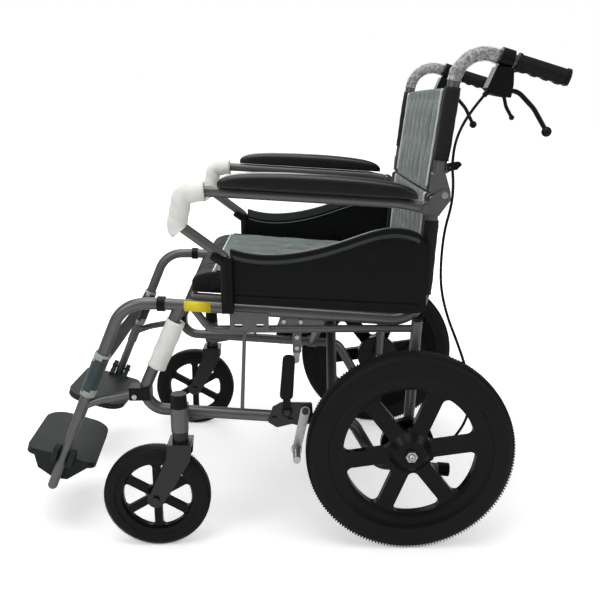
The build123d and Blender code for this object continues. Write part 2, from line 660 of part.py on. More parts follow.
panel_top = [(y, seat_rail_height + rise) for y, rise in
             ((arm_knee[0] + 6, 119), (36, 110), (135, 134), (207, 154), (262, 144))]
panel_low = [(y, z - panel_band) for y, z in panel_top]
panel_back = 277.0
panel_rear_low = (panel_back, seat_rail_height + 3)
panel_front_low = (arm_knee[0] + 6, seat_rail_height + 20)
with BuildPart() as side_panel:
    with BuildSketch(Plane.YZ.offset(panel_face)) as panel:
        with BuildLine():
            Spline(*panel_top)
            Polyline(panel_top[-1], (panel_back - 2, panel_top[-1][1] - 18), panel_rear_low,
                     (panel_back - 30, panel_rear_low[1] - 3), panel_front_low, panel_top[0])
        make_face()
        fillet(panel.vertices().sort_by(Axis.X)[-1], 9)
    extrude(panel.sketch, amount=panel_thick)
    with BuildSketch(Plane.YZ.offset(panel_face)) as band:
        with BuildLine():
            Spline(*panel_top)
            Line(panel_top[-1], panel_low[-1])
            Spline(*panel_low[::-1])
            Line(panel_low[0], panel_top[0])
        make_face()
    extrude(band.sketch, amount=panel_thick + panel_relief)
    side_plate([(panel_front_low[0] + 8, panel_front_low[1] + 8), (panel_front_low[0] + 8, panel_front_low[1] + 15),
                (panel_back - 12, panel_rear_low[1] + 14), (panel_back - 16, panel_rear_low[1] + 7)],
               panel_face + 1, panel_face + panel_thick + 3)
    sleeve_top = Vector(arm_x, arm_knee[0], arm_knee[1] + 4)
    tube_along([sleeve_top, Vector(arm_x, arm_knee[0], arm_foot)], [], arm_tube + 5)
    tube_along(arm_route, arm_bends, arm_tube, mode=Mode.SUBTRACT)
left_side["side_panel"] = side_panel

# Upper back cane with its push handle and the tongue of the folding hinge
upper_rise = tan(radians(upper_cane_lean))
fall = tan(radians(handle_fall))


def upper_cane_y(z):
    """The upper back cane's centre at a height."""
    return upper_cane_foot[0] + (z - upper_cane_foot[1]) * upper_rise


handle_low = handle_corner - (handle_end - upper_cane_y(handle_corner)) * fall
handle_route = [on_frame(*upper_cane_foot), on_frame(upper_cane_y(handle_corner), handle_corner),
                on_frame(handle_end, handle_low)]
handle_line = Vector(0, cos(radians(handle_fall)), -sin(radians(handle_fall)))


def on_handle(y):
    """A point of the push handle's centre line."""
    return on_frame(y, handle_corner - (y - upper_cane_y(handle_corner)) * fall)


hinge_half = tube / 2
with BuildPart() as upper_cane:
    tube_along(handle_route, [handle_bend], tube, bore)
    side_plate([(upper_cane_foot[0] - 11, hinge_z + 4), (upper_cane_foot[0] - 9, hinge_z + 37),
                (hinge_y, hinge_z + 40), (hinge_y + 10, hinge_z + 8), (hinge_y + 8, hinge_z - 6),
                (hinge_y - 3, hinge_z - 9), (hinge_y - 9, hinge_z - 3)],
               half_frame - hinge_half + running, half_frame + hinge_half - running, 2)
    web_half = release_half - 3.5 - running
    side_plate([(release_y - 9, release_z - 10), (release_y - 9, release_z + 5), (release_y + 4, release_z + 5),
                (release_y + 5, release_z - 4), (release_y - 4, release_z - 10)],
               half_frame - web_half, half_frame + web_half)
    cross_rod(release_y, release_z, half_frame - release_half, half_frame + release_half, 4)
    bore_top = on_frame(upper_cane_y(hinge_z + 83), hinge_z + 83)
    tube_along([on_frame(*upper_cane_foot), bore_top], [], bore, mode=Mode.SUBTRACT)
    cross_rod(hinge_y, hinge_z, half_frame - hinge_half, half_frame + hinge_half, 8 + 2 * running,
              mode=Mode.SUBTRACT)
left_side["upper_cane"] = upper_cane

bracket_low = hinge_z - 36
with BuildPart() as hinge_bracket:
    tube_along([on_frame(cane_y(bracket_low), bracket_low), upper_route[-1]], [], tube + 5)
    for plate_x in (half_frame - hinge_half - 3, half_frame + hinge_half):
        side_plate([(cane_y(bracket_low) - 8, bracket_low + 2), (cane_y(bracket_low) + 11, bracket_low + 2),
                    (hinge_y + 11, hinge_z - 9), (hinge_y + 10, hinge_z + 8), (hinge_y - 3, hinge_z + 11),
                    (cane_y(cane_top) - 9, hinge_z - 4)], plate_x, plate_x + 3, 2)
    cross_rod(arm_pivot[0], arm_pivot[1], half_frame, arm_x - eye_half - running, 18)
    cross_rod(arm_pivot[0], arm_pivot[1], half_frame, arm_x + eye_half + 1, 8)
    cross_rod(arm_pivot[0], arm_pivot[1], arm_x + eye_half + running, arm_x + eye_half + 4, 14)
    tube_along(upper_route, [cane_bend], tube, mode=Mode.SUBTRACT)
    cross_rod(hinge_y, hinge_z, half_frame - hinge_half - 3, half_frame + hinge_half + 3, 8, mode=Mode.SUBTRACT)
left_side["hinge_bracket"] = hinge_bracket

# Spring lever that frees the folding back, behind the tongue
with BuildPart() as release_lever:
    side_plate([(release_y - 4, release_z - 5), (release_y + 12, release_z - 4),
                (release_y + 21, release_z + 5), (release_y + 17, release_z + 10), (release_y - 4, release_z + 6)],
               half_frame - release_half, half_frame + release_half, 1.5)
    block((half_frame - release_half + 3.5, half_frame + release_half - 3.5),
          (release_y - 8, release_y + 7), (release_z - 9, release_z + 14), mode=Mode.SUBTRACT)
    cross_rod(release_y, release_z, half_frame - release_half, half_frame + release_half, 4 + 2 * running,
              mode=Mode.SUBTRACT)
left_side["release_lever"] = release_lever

# Ribbed hand grip with finger grooves
grip_from = on_handle(grip_start)
grip_to = on_handle(handle_end + 5)
with BuildPart() as grip:
    tube_along([grip_from, grip_to], [], grip_size - 2)
    for ring_at in (0, (grip_to - grip_from).length - 5):
        ring_start = grip_from + handle_line * ring_at
        tube_along([ring_start, ring_start + handle_line * 5], [], grip_size + 1.5)
    for groove in range(4):
        place = grip_from + handle_line * (18 + 21 * groove) - Vector(0, 0, grip_size / 2 + 8)
        cross_rod(place.Y, place.Z, half_frame - 20, half_frame + 20, 22, mode=Mode.SUBTRACT)
    tube_along(handle_route, [handle_bend], tube, mode=Mode.SUBTRACT)
left_side["grip"] = grip

# Brake lever housing clamped on the handle, hand lever and parking catch
clamp_centre = on_handle(clamp_y)
slot_half = 12.0
with BuildPart() as brake_housing:
    tube_along([clamp_centre - handle_line * 11, clamp_centre + handle_line * 11], [], tube + 12)
    side_plate([(clamp_y + across, handle_corner + up) for across, up in
                ((-18, -35), (-33, -71), (-26, -81), (8, -87), (11, -65), (10, -39))],
               half_frame - 14, half_frame + 18, 3)
    block((half_frame - slot_half + 2, half_frame + slot_half + 3), (clamp_y - 18, clamp_y + 30),
          (handle_corner - 107, handle_corner - 57), mode=Mode.SUBTRACT)
    cross_rod(*lever_pivot, half_frame - 13, half_frame + 17, 6)
    tube_along(handle_route, [handle_bend], tube, mode=Mode.SUBTRACT)
    gland = Vector(half_frame + 10, clamp_y - 30, handle_corner - 76)
    gland_way = Vector(0.05, -0.66, -0.75).normalized()
    tube_along([gland, gland + gland_way * 9], [], 9)
left_side["brake_housing"] = brake_housing

lever_x = half_frame + 9
ball = Vector(*lever_ball)
with BuildPart() as brake_lever:
    tube_along([Vector(lever_x, *lever_pivot), Vector(lever_x + 1, lever_pivot[0] + 24, lever_pivot[1] - 4),
                Vector(lever_x + 7, lever_pivot[0] + 50, lever_pivot[1] - 31), ball], [26, 60], lever_thick)
    with Locations(ball):
        Sphere(lever_ball_size / 2)
    cross_rod(*lever_pivot, lever_x - 4.5, lever_x + 4.5, 16)
    cross_rod(*lever_pivot, lever_x - 4.5, lever_x + 4.5, 6 + 2 * running, mode=Mode.SUBTRACT)
left_side["brake_lever"] = brake_lever

catch_x = half_frame - 3
with BuildPart() as parking_catch:
    tube_along([Vector(catch_x, lever_pivot[0] + across, lever_pivot[1] - down)
                for across, down in ((2, 6), (8, 28), (19, 46))], [25], 6)
    with Locations(Vector(catch_x, lever_pivot[0] + 19, lever_pivot[1] - 46)):
        Sphere(catch_ball_size / 2)
    cross_rod(*lever_pivot, catch_x - 3.5, catch_x + 3.5, 14)
    cross_rod(*lever_pivot, catch_x - 3.5, catch_x + 3.5, 6 + 2 * running, mode=Mode.SUBTRACT)
left_side["parking_catch"] = parking_catch

# Brake cable from the lever housing, past the hinge, to the brake cover
cable_route = [gland + gland_way * 9.1]
cable_route += [Vector(half_frame + across, y, hinge_z + up) for across, y, up in (
    (12, 339, 140), (12, 318, 98), (13, 313, 55), (12, 318, 17), (8, 317, -19), (7, 307, -61),
    (8, 303, -112), (11, 304, -165), (16, 317, -217), (20, 338, -267))]
cable_route += [Vector(drum_face + 10, y, rear_radius + up) for y, up in (
    (357, 146), (369, 94), (362, 46), (341, 11), (318, -8))]
cable_route += [cover_gland + cover_gland_way * 9.1]


def cable_radii(points):
    """Bend radii, as large as the two runs at each point allow."""
    radii = []
    for before, here, after in zip(points, points[1:], points[2:]):
        turn = radians((here - before).get_angle(after - here))
        radii.append(0.45 * min((here - before).length, (after - here).length) / tan(turn / 2))
    return radii


with BuildPart() as brake_cable:
    tube_along(cable_route, cable_radii(cable_route), cable_size)
left_side["brake_cable"] = brake_cable
cable_length = sum((b - a).length for a, b in zip(cable_route, cable_route[1:]))

# Bolts, nuts and pins of the side frame
with BuildPart() as fasteners:
    cross_rod(axle_y, rear_radius, half_frame - 12, rear_hub_outer + 3, axle_size)
    hex_head(axle_y, rear_radius, rear_hub_outer + running, rear_hub_outer + 9, 19)
    with Locations((rear_hub_outer + 9, axle_y, rear_radius)):
        Sphere(7)
    hex_head(axle_y, rear_radius, half_frame - 18, half_frame - 12, 19)
    for bolt_y, bolt_rise in ((22, 15), (53, 14), (46, -15), (46, -36)):
        hex_head(bolt_y, under_rail_height + bolt_rise, half_frame + 1.5, half_frame + 6, 7.5)
    hex_head(clamp_on_leg.Y - 14, clamp_on_leg.Z - 5, half_frame + clamp_half, half_frame + clamp_half + 3, 9)
    cross_rod(hinge_y, hinge_z, half_frame - hinge_half - 3, half_frame + hinge_half + 3, 8)
    for head_x in (half_frame - hinge_half - 5, half_frame + hinge_half + 3):
        cross_rod(hinge_y, hinge_z, head_x, head_x + 2, 12)
left_side["fasteners"] = fasteners


def cross_brace(side, along):
    """One half of the scissor: pivot sleeve, arm, fan strut and seat tube."""
    with BuildPart() as brace:
        low = brace_point(side * half_frame, 0, along)
        high = brace_point(-side * seat_tube_x, brace_rise, along)
        fan_low = low + (high - low) * fan_along
        tube_along([brace_point(-side * seat_tube_x, brace_rise, seat_tube_front),
                    brace_point(-side * seat_tube_x, brace_rise, seat_tube_rear)], [], tube)
        tube_along([low, high], [], brace_arm)
        tube_along([fan_low, brace_point(-side * seat_tube_x, brace_rise, fan_front)], [], under_tube)
        half_sleeve = rail_axis * (sleeve_length / 2)
        tube_along([low - half_sleeve, low + half_sleeve], [], sleeve_size)
        tube_along([low - rail_axis * sleeve_length, low + rail_axis * sleeve_length], [], tube + 2 * running,
                   mode=Mode.SUBTRACT)
        centre = brace_point(0, brace_centre, along)
        tube_along([centre - rail_axis * tube, centre + rail_axis * tube], [], 8 + 2 * running,
                   mode=Mode.SUBTRACT)
    return brace


brace_centre = brace_rise * half_frame / (half_frame + seat_tube_x)
brace_a = cross_brace(1, brace_a_y)
brace_b = cross_brace(-1, brace_b_y)
with BuildPart() as brace_a_with_bolt:
    add(brace_a.part)
    bolt_low = brace_point(0, brace_centre, brace_b_y - 15)
    bolt_high = brace_point(0, brace_centre, brace_a_y + 15)
    tube_along([bolt_low, bolt_high], [], 8)
    tube_along([bolt_low, bolt_low + rail_axis * 3.5], [], 14)
    tube_along([bolt_high - rail_axis * 3.5, bolt_high], [], 14)
    washer_from = brace_point(0, brace_centre, brace_a_y - tube / 2 - 2)
    tube_along([washer_from, brace_point(0, brace_centre, brace_a_y)], [], 18)
whole_width["brace_a"] = brace_a_with_bolt
whole_width["brace_b"] = brace_b

# Seat cushion on the two seat tubes
cushion_bottom = brace_rise + tube / 2 + soft_gap
with BuildPart() as seat_cushion:
    cushion_start = brace_point(0, cushion_bottom, cushion_front)
    cushion_plane = Plane(origin=cushion_start, x_dir=(1, 0, 0), z_dir=-rail_axis)
    with BuildSketch(cushion_plane) as cushion:
        with Locations((0, cushion_thick / 2)):
            Rectangle(2 * cushion_half, cushion_thick)
    extrude(cushion.sketch, amount=-(cushion_rear - cushion_front))
    front_edge = seat_cushion.faces().sort_by(Axis.Y)[0].edges().sort_by(Axis.Z)[-1]
    fillet(front_edge, 26)
    fillet(seat_cushion.faces().filter_by(Axis.X).edges(), 10)
whole_width["seat_cushion"] = seat_cushion


def sling(direction, base, slab, sleeves, thick, slab_offset):
    """Fabric stretched between two parallel tubes, with a sleeve round each of them.

    slab and sleeves are start and end distances along the tubes from the base point.
    """
    with BuildPart() as fabric:
        for reach, is_slab in ((slab, True), (sleeves, False)):
            place = Plane(origin=base + direction * reach[0], x_dir=(1, 0, 0), z_dir=direction)
            with BuildSketch(place) as section:
                if is_slab:
                    with Locations((0, slab_offset)):
                        Rectangle(2 * (half_frame - slab_inset), thick)
                else:
                    with Locations((-half_frame, 0), (half_frame, 0)):
                        Circle(tube / 2 + soft_gap + sleeve_wall)
                    with Locations((0, slab_offset)):
                        Rectangle(2 * half_frame, min(thick, tube))
            extrude(section.sketch, amount=reach[1] - reach[0])
        place = Plane(origin=base + direction * (sleeves[0] - 50), x_dir=(1, 0, 0), z_dir=direction)
        with BuildSketch(place) as holes:
            with Locations((-half_frame, 0), (half_frame, 0)):
                Circle(tube / 2 + soft_gap)
        extrude(holes.sketch, amount=sleeves[1] - sleeves[0] + 100, mode=Mode.SUBTRACT)
    return fabric


lower_direction = Vector(0, sin(radians(cane_lean)), cos(radians(cane_lean)))
upper_direction = Vector(0, sin(radians(upper_cane_lean)), cos(radians(upper_cane_lean)))
hanger_direction = Vector(0, hanger_slope, 1).normalized()
lower_base = Vector(0, cane_y(lower_back[0]), lower_back[0])
upper_base = Vector(0, upper_cane_y(upper_back[0]), upper_back[0])
strap_base = Vector(0, hanger_y(strap_heights[0]), strap_heights[0])
slab_end = hinge_z - 3 - lower_back[0]
sleeve_end = lower_back[1] - lower_back[0]
whole_width["back_lower"] = sling(lower_direction, lower_base, (0, slab_end), (0, sleeve_end), back_thick, 0)
slab_start = hinge_z + 3 - upper_back[0]
sleeve_end = upper_back[1] - upper_back[0]
whole_width["back_upper"] = sling(upper_direction, upper_base, (slab_start, sleeve_end), (0, sleeve_end),
                                  back_thick, 0)
strap_length = (strap_heights[1] - strap_heights[0]) / cos(radians(hanger_lean))
whole_width["calf_strap"] = sling(hanger_direction, strap_base, (0, strap_length), (0, strap_length),
                                  strap_thick, -8)

# Write every piece about the point midway along the chair, the side pieces once for each side
boxes = [piece.part.bounding_box() for piece in (*left_side.values(), *whole_width.values())]
middle_y = (min(box.min.Y for box in boxes) + max(box.max.Y for box in boxes)) / 2


def write_piece(name, shape):
    """Move a piece to the row's origin and write it under its name."""
    placed = shape.moved(Location((0, -middle_y, 0)))
    placed.label = name
    export_step(placed, f"parts/{name}.step")


for node, piece in left_side.items():
    with BuildPart() as right_piece:
        mirror(piece.part, about=Plane.YZ)
    write_piece(f"left_{node}", piece.part)
    write_piece(f"right_{node}", right_piece.part)
for node, piece in whole_width.items():
    write_piece(node, piece.part)

brace_reach = sqrt((half_frame + seat_tube_x) ** 2 + brace_rise ** 2)
rest_angle = degrees(atan2(brace_rise, half_frame + seat_tube_x))
print("nodes", 2 * len(left_side) + len(whole_width), "middle", middle_y)
print("hinge lines: pin", pin_centre, "centre", brace_point(0, brace_centre, brace_a_y))
print("brace length", brace_reach, "rest angle", rest_angle, "rise", brace_rise, "centre rise", brace_centre)
print("cable length", cable_length, "radii", [round(r) for r in cable_radii(cable_route)])
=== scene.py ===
# %% [markdown]
# # A folding transport wheelchair
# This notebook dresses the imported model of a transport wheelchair: a chair with small
# solid rear wheels that an attendant pushes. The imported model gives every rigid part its
# true shape and place, so the tubes, wheels and brackets stay, and get finishes. The
# fabric, the cables and the fine repeating detail are made here.

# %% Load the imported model
import json
import math

import bmesh
import bpy
from mathutils import Matrix, Vector
from mathutils.bvhtree import BVHTree

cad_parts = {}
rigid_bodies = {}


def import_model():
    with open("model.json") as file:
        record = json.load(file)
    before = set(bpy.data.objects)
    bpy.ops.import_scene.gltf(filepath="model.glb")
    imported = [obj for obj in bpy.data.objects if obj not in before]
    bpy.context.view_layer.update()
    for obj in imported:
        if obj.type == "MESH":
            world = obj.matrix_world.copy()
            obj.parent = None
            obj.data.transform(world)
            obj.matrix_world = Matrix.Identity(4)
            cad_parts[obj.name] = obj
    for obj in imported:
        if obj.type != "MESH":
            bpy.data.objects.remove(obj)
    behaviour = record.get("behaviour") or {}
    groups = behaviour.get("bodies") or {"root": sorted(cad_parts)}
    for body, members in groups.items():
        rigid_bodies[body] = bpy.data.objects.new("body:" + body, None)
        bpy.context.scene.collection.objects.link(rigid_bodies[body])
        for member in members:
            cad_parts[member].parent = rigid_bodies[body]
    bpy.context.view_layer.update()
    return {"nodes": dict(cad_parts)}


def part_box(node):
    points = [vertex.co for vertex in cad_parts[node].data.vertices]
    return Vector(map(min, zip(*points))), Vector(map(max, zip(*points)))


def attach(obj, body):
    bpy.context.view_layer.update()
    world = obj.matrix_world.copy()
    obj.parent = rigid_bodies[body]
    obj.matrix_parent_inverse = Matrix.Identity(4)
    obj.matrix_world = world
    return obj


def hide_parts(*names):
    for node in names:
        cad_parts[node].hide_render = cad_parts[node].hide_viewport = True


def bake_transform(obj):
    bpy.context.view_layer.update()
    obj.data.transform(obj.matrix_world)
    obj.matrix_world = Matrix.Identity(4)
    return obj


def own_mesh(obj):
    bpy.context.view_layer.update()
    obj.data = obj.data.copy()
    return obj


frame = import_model()
nodes = frame["nodes"]
scene = bpy.context.scene
SIDES = {"left": 1, "right": -1}

# %% [markdown]
# The drawing of the chair measures in millimetres from a line 12.4 mm ahead of the
# middle of its length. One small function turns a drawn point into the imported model's
# metres, so a number in this notebook reads as it does on the drawing.

# %% From drawn millimetres to the model's metres
DRAWN_MIDDLE = 12.406881


def at(x, y, z):
    """A drawn point, in millimetres, as a point of the model."""
    return Vector((x, y - DRAWN_MIDDLE, z)) / 1000


# %% [markdown]
# The camera stands where the photographer stood, about a metre and a half to the
# chair's left and a little above the armrests, so near parts look larger than far ones.
# Its three directions are worked out from two angles, because a camera that is aimed at
# a target point would hide them.

# %% Camera
VIEW_AZIMUTH = 89.49
VIEW_ELEVATION = 14.59
VIEW_ROLL = -0.06
FOCAL_PIXELS = 741.7
FRAME_PIXELS = 600
SENSOR = 36


def viewing_matrix(azimuth, elevation, roll):
    """Right, up and backward directions of a camera, as a rotation."""
    turn, lift, lean = (math.radians(angle) for angle in (azimuth, elevation, roll))
    back = Vector((math.sin(turn) * math.cos(lift), -math.cos(turn) * math.cos(lift), math.sin(lift)))
    right = (-back).cross(Vector((0, 0, 1))).normalized()
    up = right.cross(-back)
    right, up = right * math.cos(lean) + up * math.sin(lean), up * math.cos(lean) - right * math.sin(lean)
    return Matrix((right, up, back)).transposed().to_4x4()


camera_data = bpy.data.cameras.new("camera")
camera_data.sensor_width = SENSOR
camera_data.lens = FOCAL_PIXELS / FRAME_PIXELS * SENSOR
camera = bpy.data.objects.new("camera", camera_data)
scene.collection.objects.link(camera)
camera.matrix_world = Matrix.Translation(at(1544, 40, 806)) @ viewing_matrix(VIEW_AZIMUTH, VIEW_ELEVATION, VIEW_ROLL)
scene.camera = camera
print("lens", round(camera_data.lens, 2), "mm at", tuple(round(v, 3) for v in camera.location))

# %% [markdown]
# ## Brake cables
# Each hand lever pulls a steel wire in a black sleeve, 5 mm thick and 0.7 m long. It
# leaves the lever's housing pointing down, passes close behind the folding hinge, hangs
# in a loose bow and enters the brake cover on the hub. A cable is springy and never
# kinks, so a NURBS curve through few points is closer to it than arcs and straight
# runs. The curve is read back as points and given a round skin.

# %% Cable route and skin
CABLE_SIZE = 5.0
CABLE_LENGTH = 0.690
cable_points = [
    (250.4, 362.0, 824.2), (252, 339, 797), (252, 318, 755), (253, 313, 712), (252, 318, 674),
    (248, 317, 638), (247, 307, 596), (248, 303, 545), (251, 304, 492), (256, 317, 440),
    (260, 338, 390), (262, 357, 338), (262, 369, 286), (262, 362, 238), (262, 341, 203),
    (262, 318, 184), (262, 301.7, 173.8),
]


def smooth_line(points, name):
    """Points along a NURBS curve whose control points are given."""
    curve = bpy.data.curves.new(name, "CURVE")
    curve.dimensions = "3D"
    spline = curve.splines.new("NURBS")
    spline.points.add(len(points) - 1)
    for place, point in zip(spline.points, points):
        place.co = (*point, 1)
    spline.order_u = 3
    spline.use_endpoint_u = True
    spline.resolution_u = 8
    holder = bpy.data.objects.new(name, curve)
    scene.collection.objects.link(holder)
    line = bpy.data.meshes.new_from_object(holder)
    found = [vertex.co.copy() for vertex in line.vertices]
    bpy.data.objects.remove(holder)
    bpy.data.meshes.remove(line)
    return found


def add_piece(name, vertices, faces, smooth=True):
    """A mesh object from lists of points and faces, with its faces turned outwards."""
    mesh = bpy.data.meshes.new(name)
    mesh.from_pydata([tuple(vertex) for vertex in vertices], [], faces)
    shell = bmesh.new()
    shell.from_mesh(mesh)
    bmesh.ops.remove_doubles(shell, verts=shell.verts, dist=1e-6)
    bmesh.ops.recalc_face_normals(shell, faces=shell.faces)
    shell.to_mesh(mesh)
    shell.free()
    mesh.polygons.foreach_set("use_smooth", [smooth] * len(mesh.polygons))
    piece = bpy.data.objects.new(name, mesh)
    scene.collection.objects.link(piece)
    return piece


def ring_faces(rings, sides, start=0):
    """Faces between rings of points that follow each other in a list, from a number on."""
    return [(start + ring * sides + turn, start + ring * sides + (turn + 1) % sides,
             start + (ring + 1) * sides + (turn + 1) % sides, start + (ring + 1) * sides + turn)
            for ring in range(rings - 1) for turn in range(sides)]


def cap_faces(rings, sides):
    """The two end faces of a closed loft."""
    return [tuple(range(sides)), tuple(range((rings - 1) * sides, rings * sides))]


def hollow_faces(rings, sides):
    """Faces of a thick tube: outer rings, then the same number of inner rings, joined at both ends."""
    hole = rings * sides
    faces = ring_faces(rings, sides) + [face[::-1] for face in ring_faces(rings, sides, hole)]
    for start in (0, hole - sides):
        faces += [(start + turn, hole + start + turn, hole + start + (turn + 1) % sides, start + (turn + 1) % sides)
                  for turn in range(sides)]
    return faces


def skin_line(name, line, radius, sides=10):
    """A round closed tube along points; radius is one number or a function of 0 to 1."""
    vertices = []
    count = len(line)
    side = None
    for index, point in enumerate(line):
        along = (line[min(index + 1, count - 1)] - line[max(index - 1, 0)]).normalized()
        if side is None:
            side = along.orthogonal().normalized()
        side = (side - along * side.dot(along)).normalized()
        across = along.cross(side)
        size = radius(index / (count - 1)) if callable(radius) else radius
        for turn in range(sides):
            angle = 2 * math.pi * turn / sides
            vertices.append(point + (side * math.cos(angle) + across * math.sin(angle)) * size)
    return add_piece(name, vertices, ring_faces(count, sides) + cap_faces(count, sides))


for side, sign in SIDES.items():
    route = smooth_line([at(sign * x, y, z) for x, y, z in cable_points], f"{side}_cable_route")
    cable = skin_line(f"{side}_cable_sleeve", route, CABLE_SIZE / 2000)
    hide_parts(f"{side}_brake_cable")
    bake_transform(cable)

# %% [markdown]
# ## Finishes
# Every material starts from what the real part is made of. Colours are written as sRGB
# hex values, as a designer would note them, and one function turns them into the linear
# values that Blender mixes. A second function adds a shader node with its settings and
# links, so that each material reads as a short list.

# %% Helpers for materials


def colour(code):
    """An sRGB hex value as linear red, green, blue and alpha."""
    parts = [int(code[place:place + 2], 16) / 255 for place in (1, 3, 5)]
    return (*[part / 12.92 if part <= 0.04045 else ((part + 0.055) / 1.055) ** 2.4 for part in parts], 1)


def add_node(tree, kind, settings=None, links=None):
    """Add a node; settings are properties or socket values, links are sockets to join."""
    node = tree.nodes.new(kind)
    for key, value in (settings or {}).items():
        if isinstance(key, int) or key in node.inputs:
            node.inputs[key].default_value = value
        else:
            setattr(node, key, value)
    for key, source in (links or {}).items():
        tree.links.new(source, node.inputs[key])
    return node


def start_material(name, **surface):
    """A material with a Principled surface; returns the material, its tree and the surface."""
    material = bpy.data.materials.new(name)
    material.use_nodes = True
    tree = material.node_tree
    shader = tree.nodes["Principled BSDF"]
    for key, value in surface.items():
        shader.inputs[key.replace("_", " ")].default_value = value
    return material, tree, shader


def object_coordinates(tree, scale=1.0):
    """Coordinates in metres times scale."""
    place = add_node(tree, "ShaderNodeTexCoord")
    scaled = add_node(tree, "ShaderNodeMapping", {"Scale": (scale,) * 3}, {"Vector": place.outputs["Object"]})
    return scaled.outputs[0]


# %% [markdown]
# The tubes are steel with a gunmetal powder coat. Baked powder flows into a satin skin
# with a faint orange peel about a millimetre across, so long soft highlights run along
# each tube and wobble slightly. Metal flake in the powder makes it half metallic.

# %% Gunmetal powder coat and black paint


def powder_coat(name, base, dark, metallic, roughness):
    """Baked powder: satin, with a faint orange peel."""
    material, tree, shader = start_material(name, Metallic=metallic, Roughness=roughness)
    coordinates = object_coordinates(tree)
    peel = add_node(tree, "ShaderNodeTexNoise", {"Scale": 700, "Detail": 2}, {"Vector": coordinates})
    cloud = add_node(tree, "ShaderNodeTexNoise", {"Scale": 18, "Detail": 3}, {"Vector": coordinates})
    tone = add_node(tree, "ShaderNodeMix", {"data_type": "RGBA"}, {"Factor": cloud.outputs[0]})
    tone.inputs[6].default_value, tone.inputs[7].default_value = colour(dark), colour(base)
    bump = add_node(tree, "ShaderNodeBump", {"Strength": 0.12, "Distance": 0.0004}, {"Height": peel.outputs[0]})
    tree.links.new(tone.outputs[2], shader.inputs["Base Color"])
    tree.links.new(bump.outputs[0], shader.inputs["Normal"])
    return material


gunmetal = powder_coat("gunmetal_powder_coat", "#6e6f6d", "#5d5e5c", 0.55, 0.36)
black_paint = powder_coat("black_powder_coat", "#141413", "#0e0e0d", 0.0, 0.28)

# %% [markdown]
# The side panels, footplates and fittings are moulded ABS. The mould is sparked to a fine
# grain, which scatters light, so the black turns to charcoal where a surface faces a
# lamp. The wheels are moulded nylon from a smoother mould, and shine more.

# %% Moulded plastics and rubbers


def moulded(name, base, roughness, grain, strength, gloss=0.16):
    """Plastic or rubber from a mould; grain is the texture's size in millimetres."""
    material, tree, shader = start_material(name, Roughness=roughness)
    coordinates = object_coordinates(tree)
    spark = add_node(tree, "ShaderNodeTexNoise", {"Scale": 1000 / grain, "Detail": 3, "Roughness": 0.6},
                     {"Vector": coordinates})
    wear = add_node(tree, "ShaderNodeTexNoise", {"Scale": 30, "Detail": 4}, {"Vector": coordinates})
    tone = add_node(tree, "ShaderNodeMix", {"data_type": "RGBA"}, {"Factor": wear.outputs[0]})
    low, high = colour(base), colour(base)
    tone.inputs[6].default_value = low
    tone.inputs[7].default_value = (*[min(1, part * 1.35 + 0.002) for part in high[:3]], 1)
    shine = add_node(tree, "ShaderNodeMapRange", {"To Min": roughness - 0.05, "To Max": roughness + 0.07},
                     {"Value": wear.outputs[0]})
    bump = add_node(tree, "ShaderNodeBump", {"Strength": strength, "Distance": 0.0003}, {"Height": spark.outputs[0]})
    tree.links.new(tone.outputs[2], shader.inputs["Base Color"])
    shader.inputs["Specular IOR Level"].default_value = gloss
    tree.links.new(shine.outputs[0], shader.inputs["Roughness"])
    tree.links.new(bump.outputs[0], shader.inputs["Normal"])
    return material


black_abs = moulded("sparked_black_abs", "#0a0b0b", 0.38, 1.2, 0.2)
footplate_abs = moulded("coarse_charcoal_abs", "#1f2524", 0.5, 1.6, 0.5)
wheel_nylon = moulded("smooth_black_nylon", "#0a0a0a", 0.27, 2.5, 0.05)
tyre_rubber = moulded("solid_tyre_rubber", "#10100f", 0.55, 1.5, 0.3)
grip_rubber = moulded("soft_grip_rubber", "#141415", 0.5, 1.0, 0.3)
armrest_skin = moulded("moulded_polyurethane_skin", "#0c0a09", 0.3, 2.2, 0.28, gloss=0.45)
cable_sleeve = moulded("cable_pvc", "#0c0c0c", 0.3, 3.0, 0.05)

# %% [markdown]
# Bolts, nuts and the lock's arm are zinc plated. Zinc from a plating barrel is bright but
# not polished, and slightly uneven in tone.

# %% Zinc plate
zinc, zinc_tree, zinc_shader = start_material("barrel_plated_zinc", Metallic=1.0, Roughness=0.33)
zinc_cloud = add_node(zinc_tree, "ShaderNodeTexNoise", {"Scale": 220, "Detail": 4},
                      {"Vector": object_coordinates(zinc_tree)})
zinc_tone = add_node(zinc_tree, "ShaderNodeMix", {"data_type": "RGBA"}, {"Factor": zinc_cloud.outputs[0]})
zinc_tone.inputs[6].default_value, zinc_tone.inputs[7].default_value = colour("#a9abad"), colour("#cfd0cf")
zinc_tree.links.new(zinc_tone.outputs[2], zinc_shader.inputs["Base Color"])

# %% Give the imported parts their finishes
FINISHES = {
    "upper_frame": gunmetal, "lower_frame": gunmetal, "under_frame": gunmetal, "leg_hanger": gunmetal,
    "frame_fittings": black_abs, "caster_fork": black_paint, "caster_rim": wheel_nylon,
    "caster_tyre": tyre_rubber, "rear_rim": wheel_nylon, "rear_tyre": tyre_rubber, "brake_cover": black_paint,
    "lock_bracket": black_paint, "lock_handle": black_abs, "lock_shoe": zinc, "footplate": footplate_abs,
    "armrest_tube": gunmetal, "armrest_pad": armrest_skin, "side_panel": black_abs, "upper_cane": gunmetal,
    "hinge_bracket": gunmetal, "release_lever": black_abs, "grip": grip_rubber, "brake_housing": black_abs,
    "brake_lever": black_abs, "parking_catch": black_abs, "fasteners": zinc,
}
for side in SIDES:
    for part, finish in FINISHES.items():
        nodes[f"{side}_{part}"].data.materials.clear()
        nodes[f"{side}_{part}"].data.materials.append(finish)
    bpy.data.objects[f"{side}_cable_sleeve"].data.materials.append(cable_sleeve)
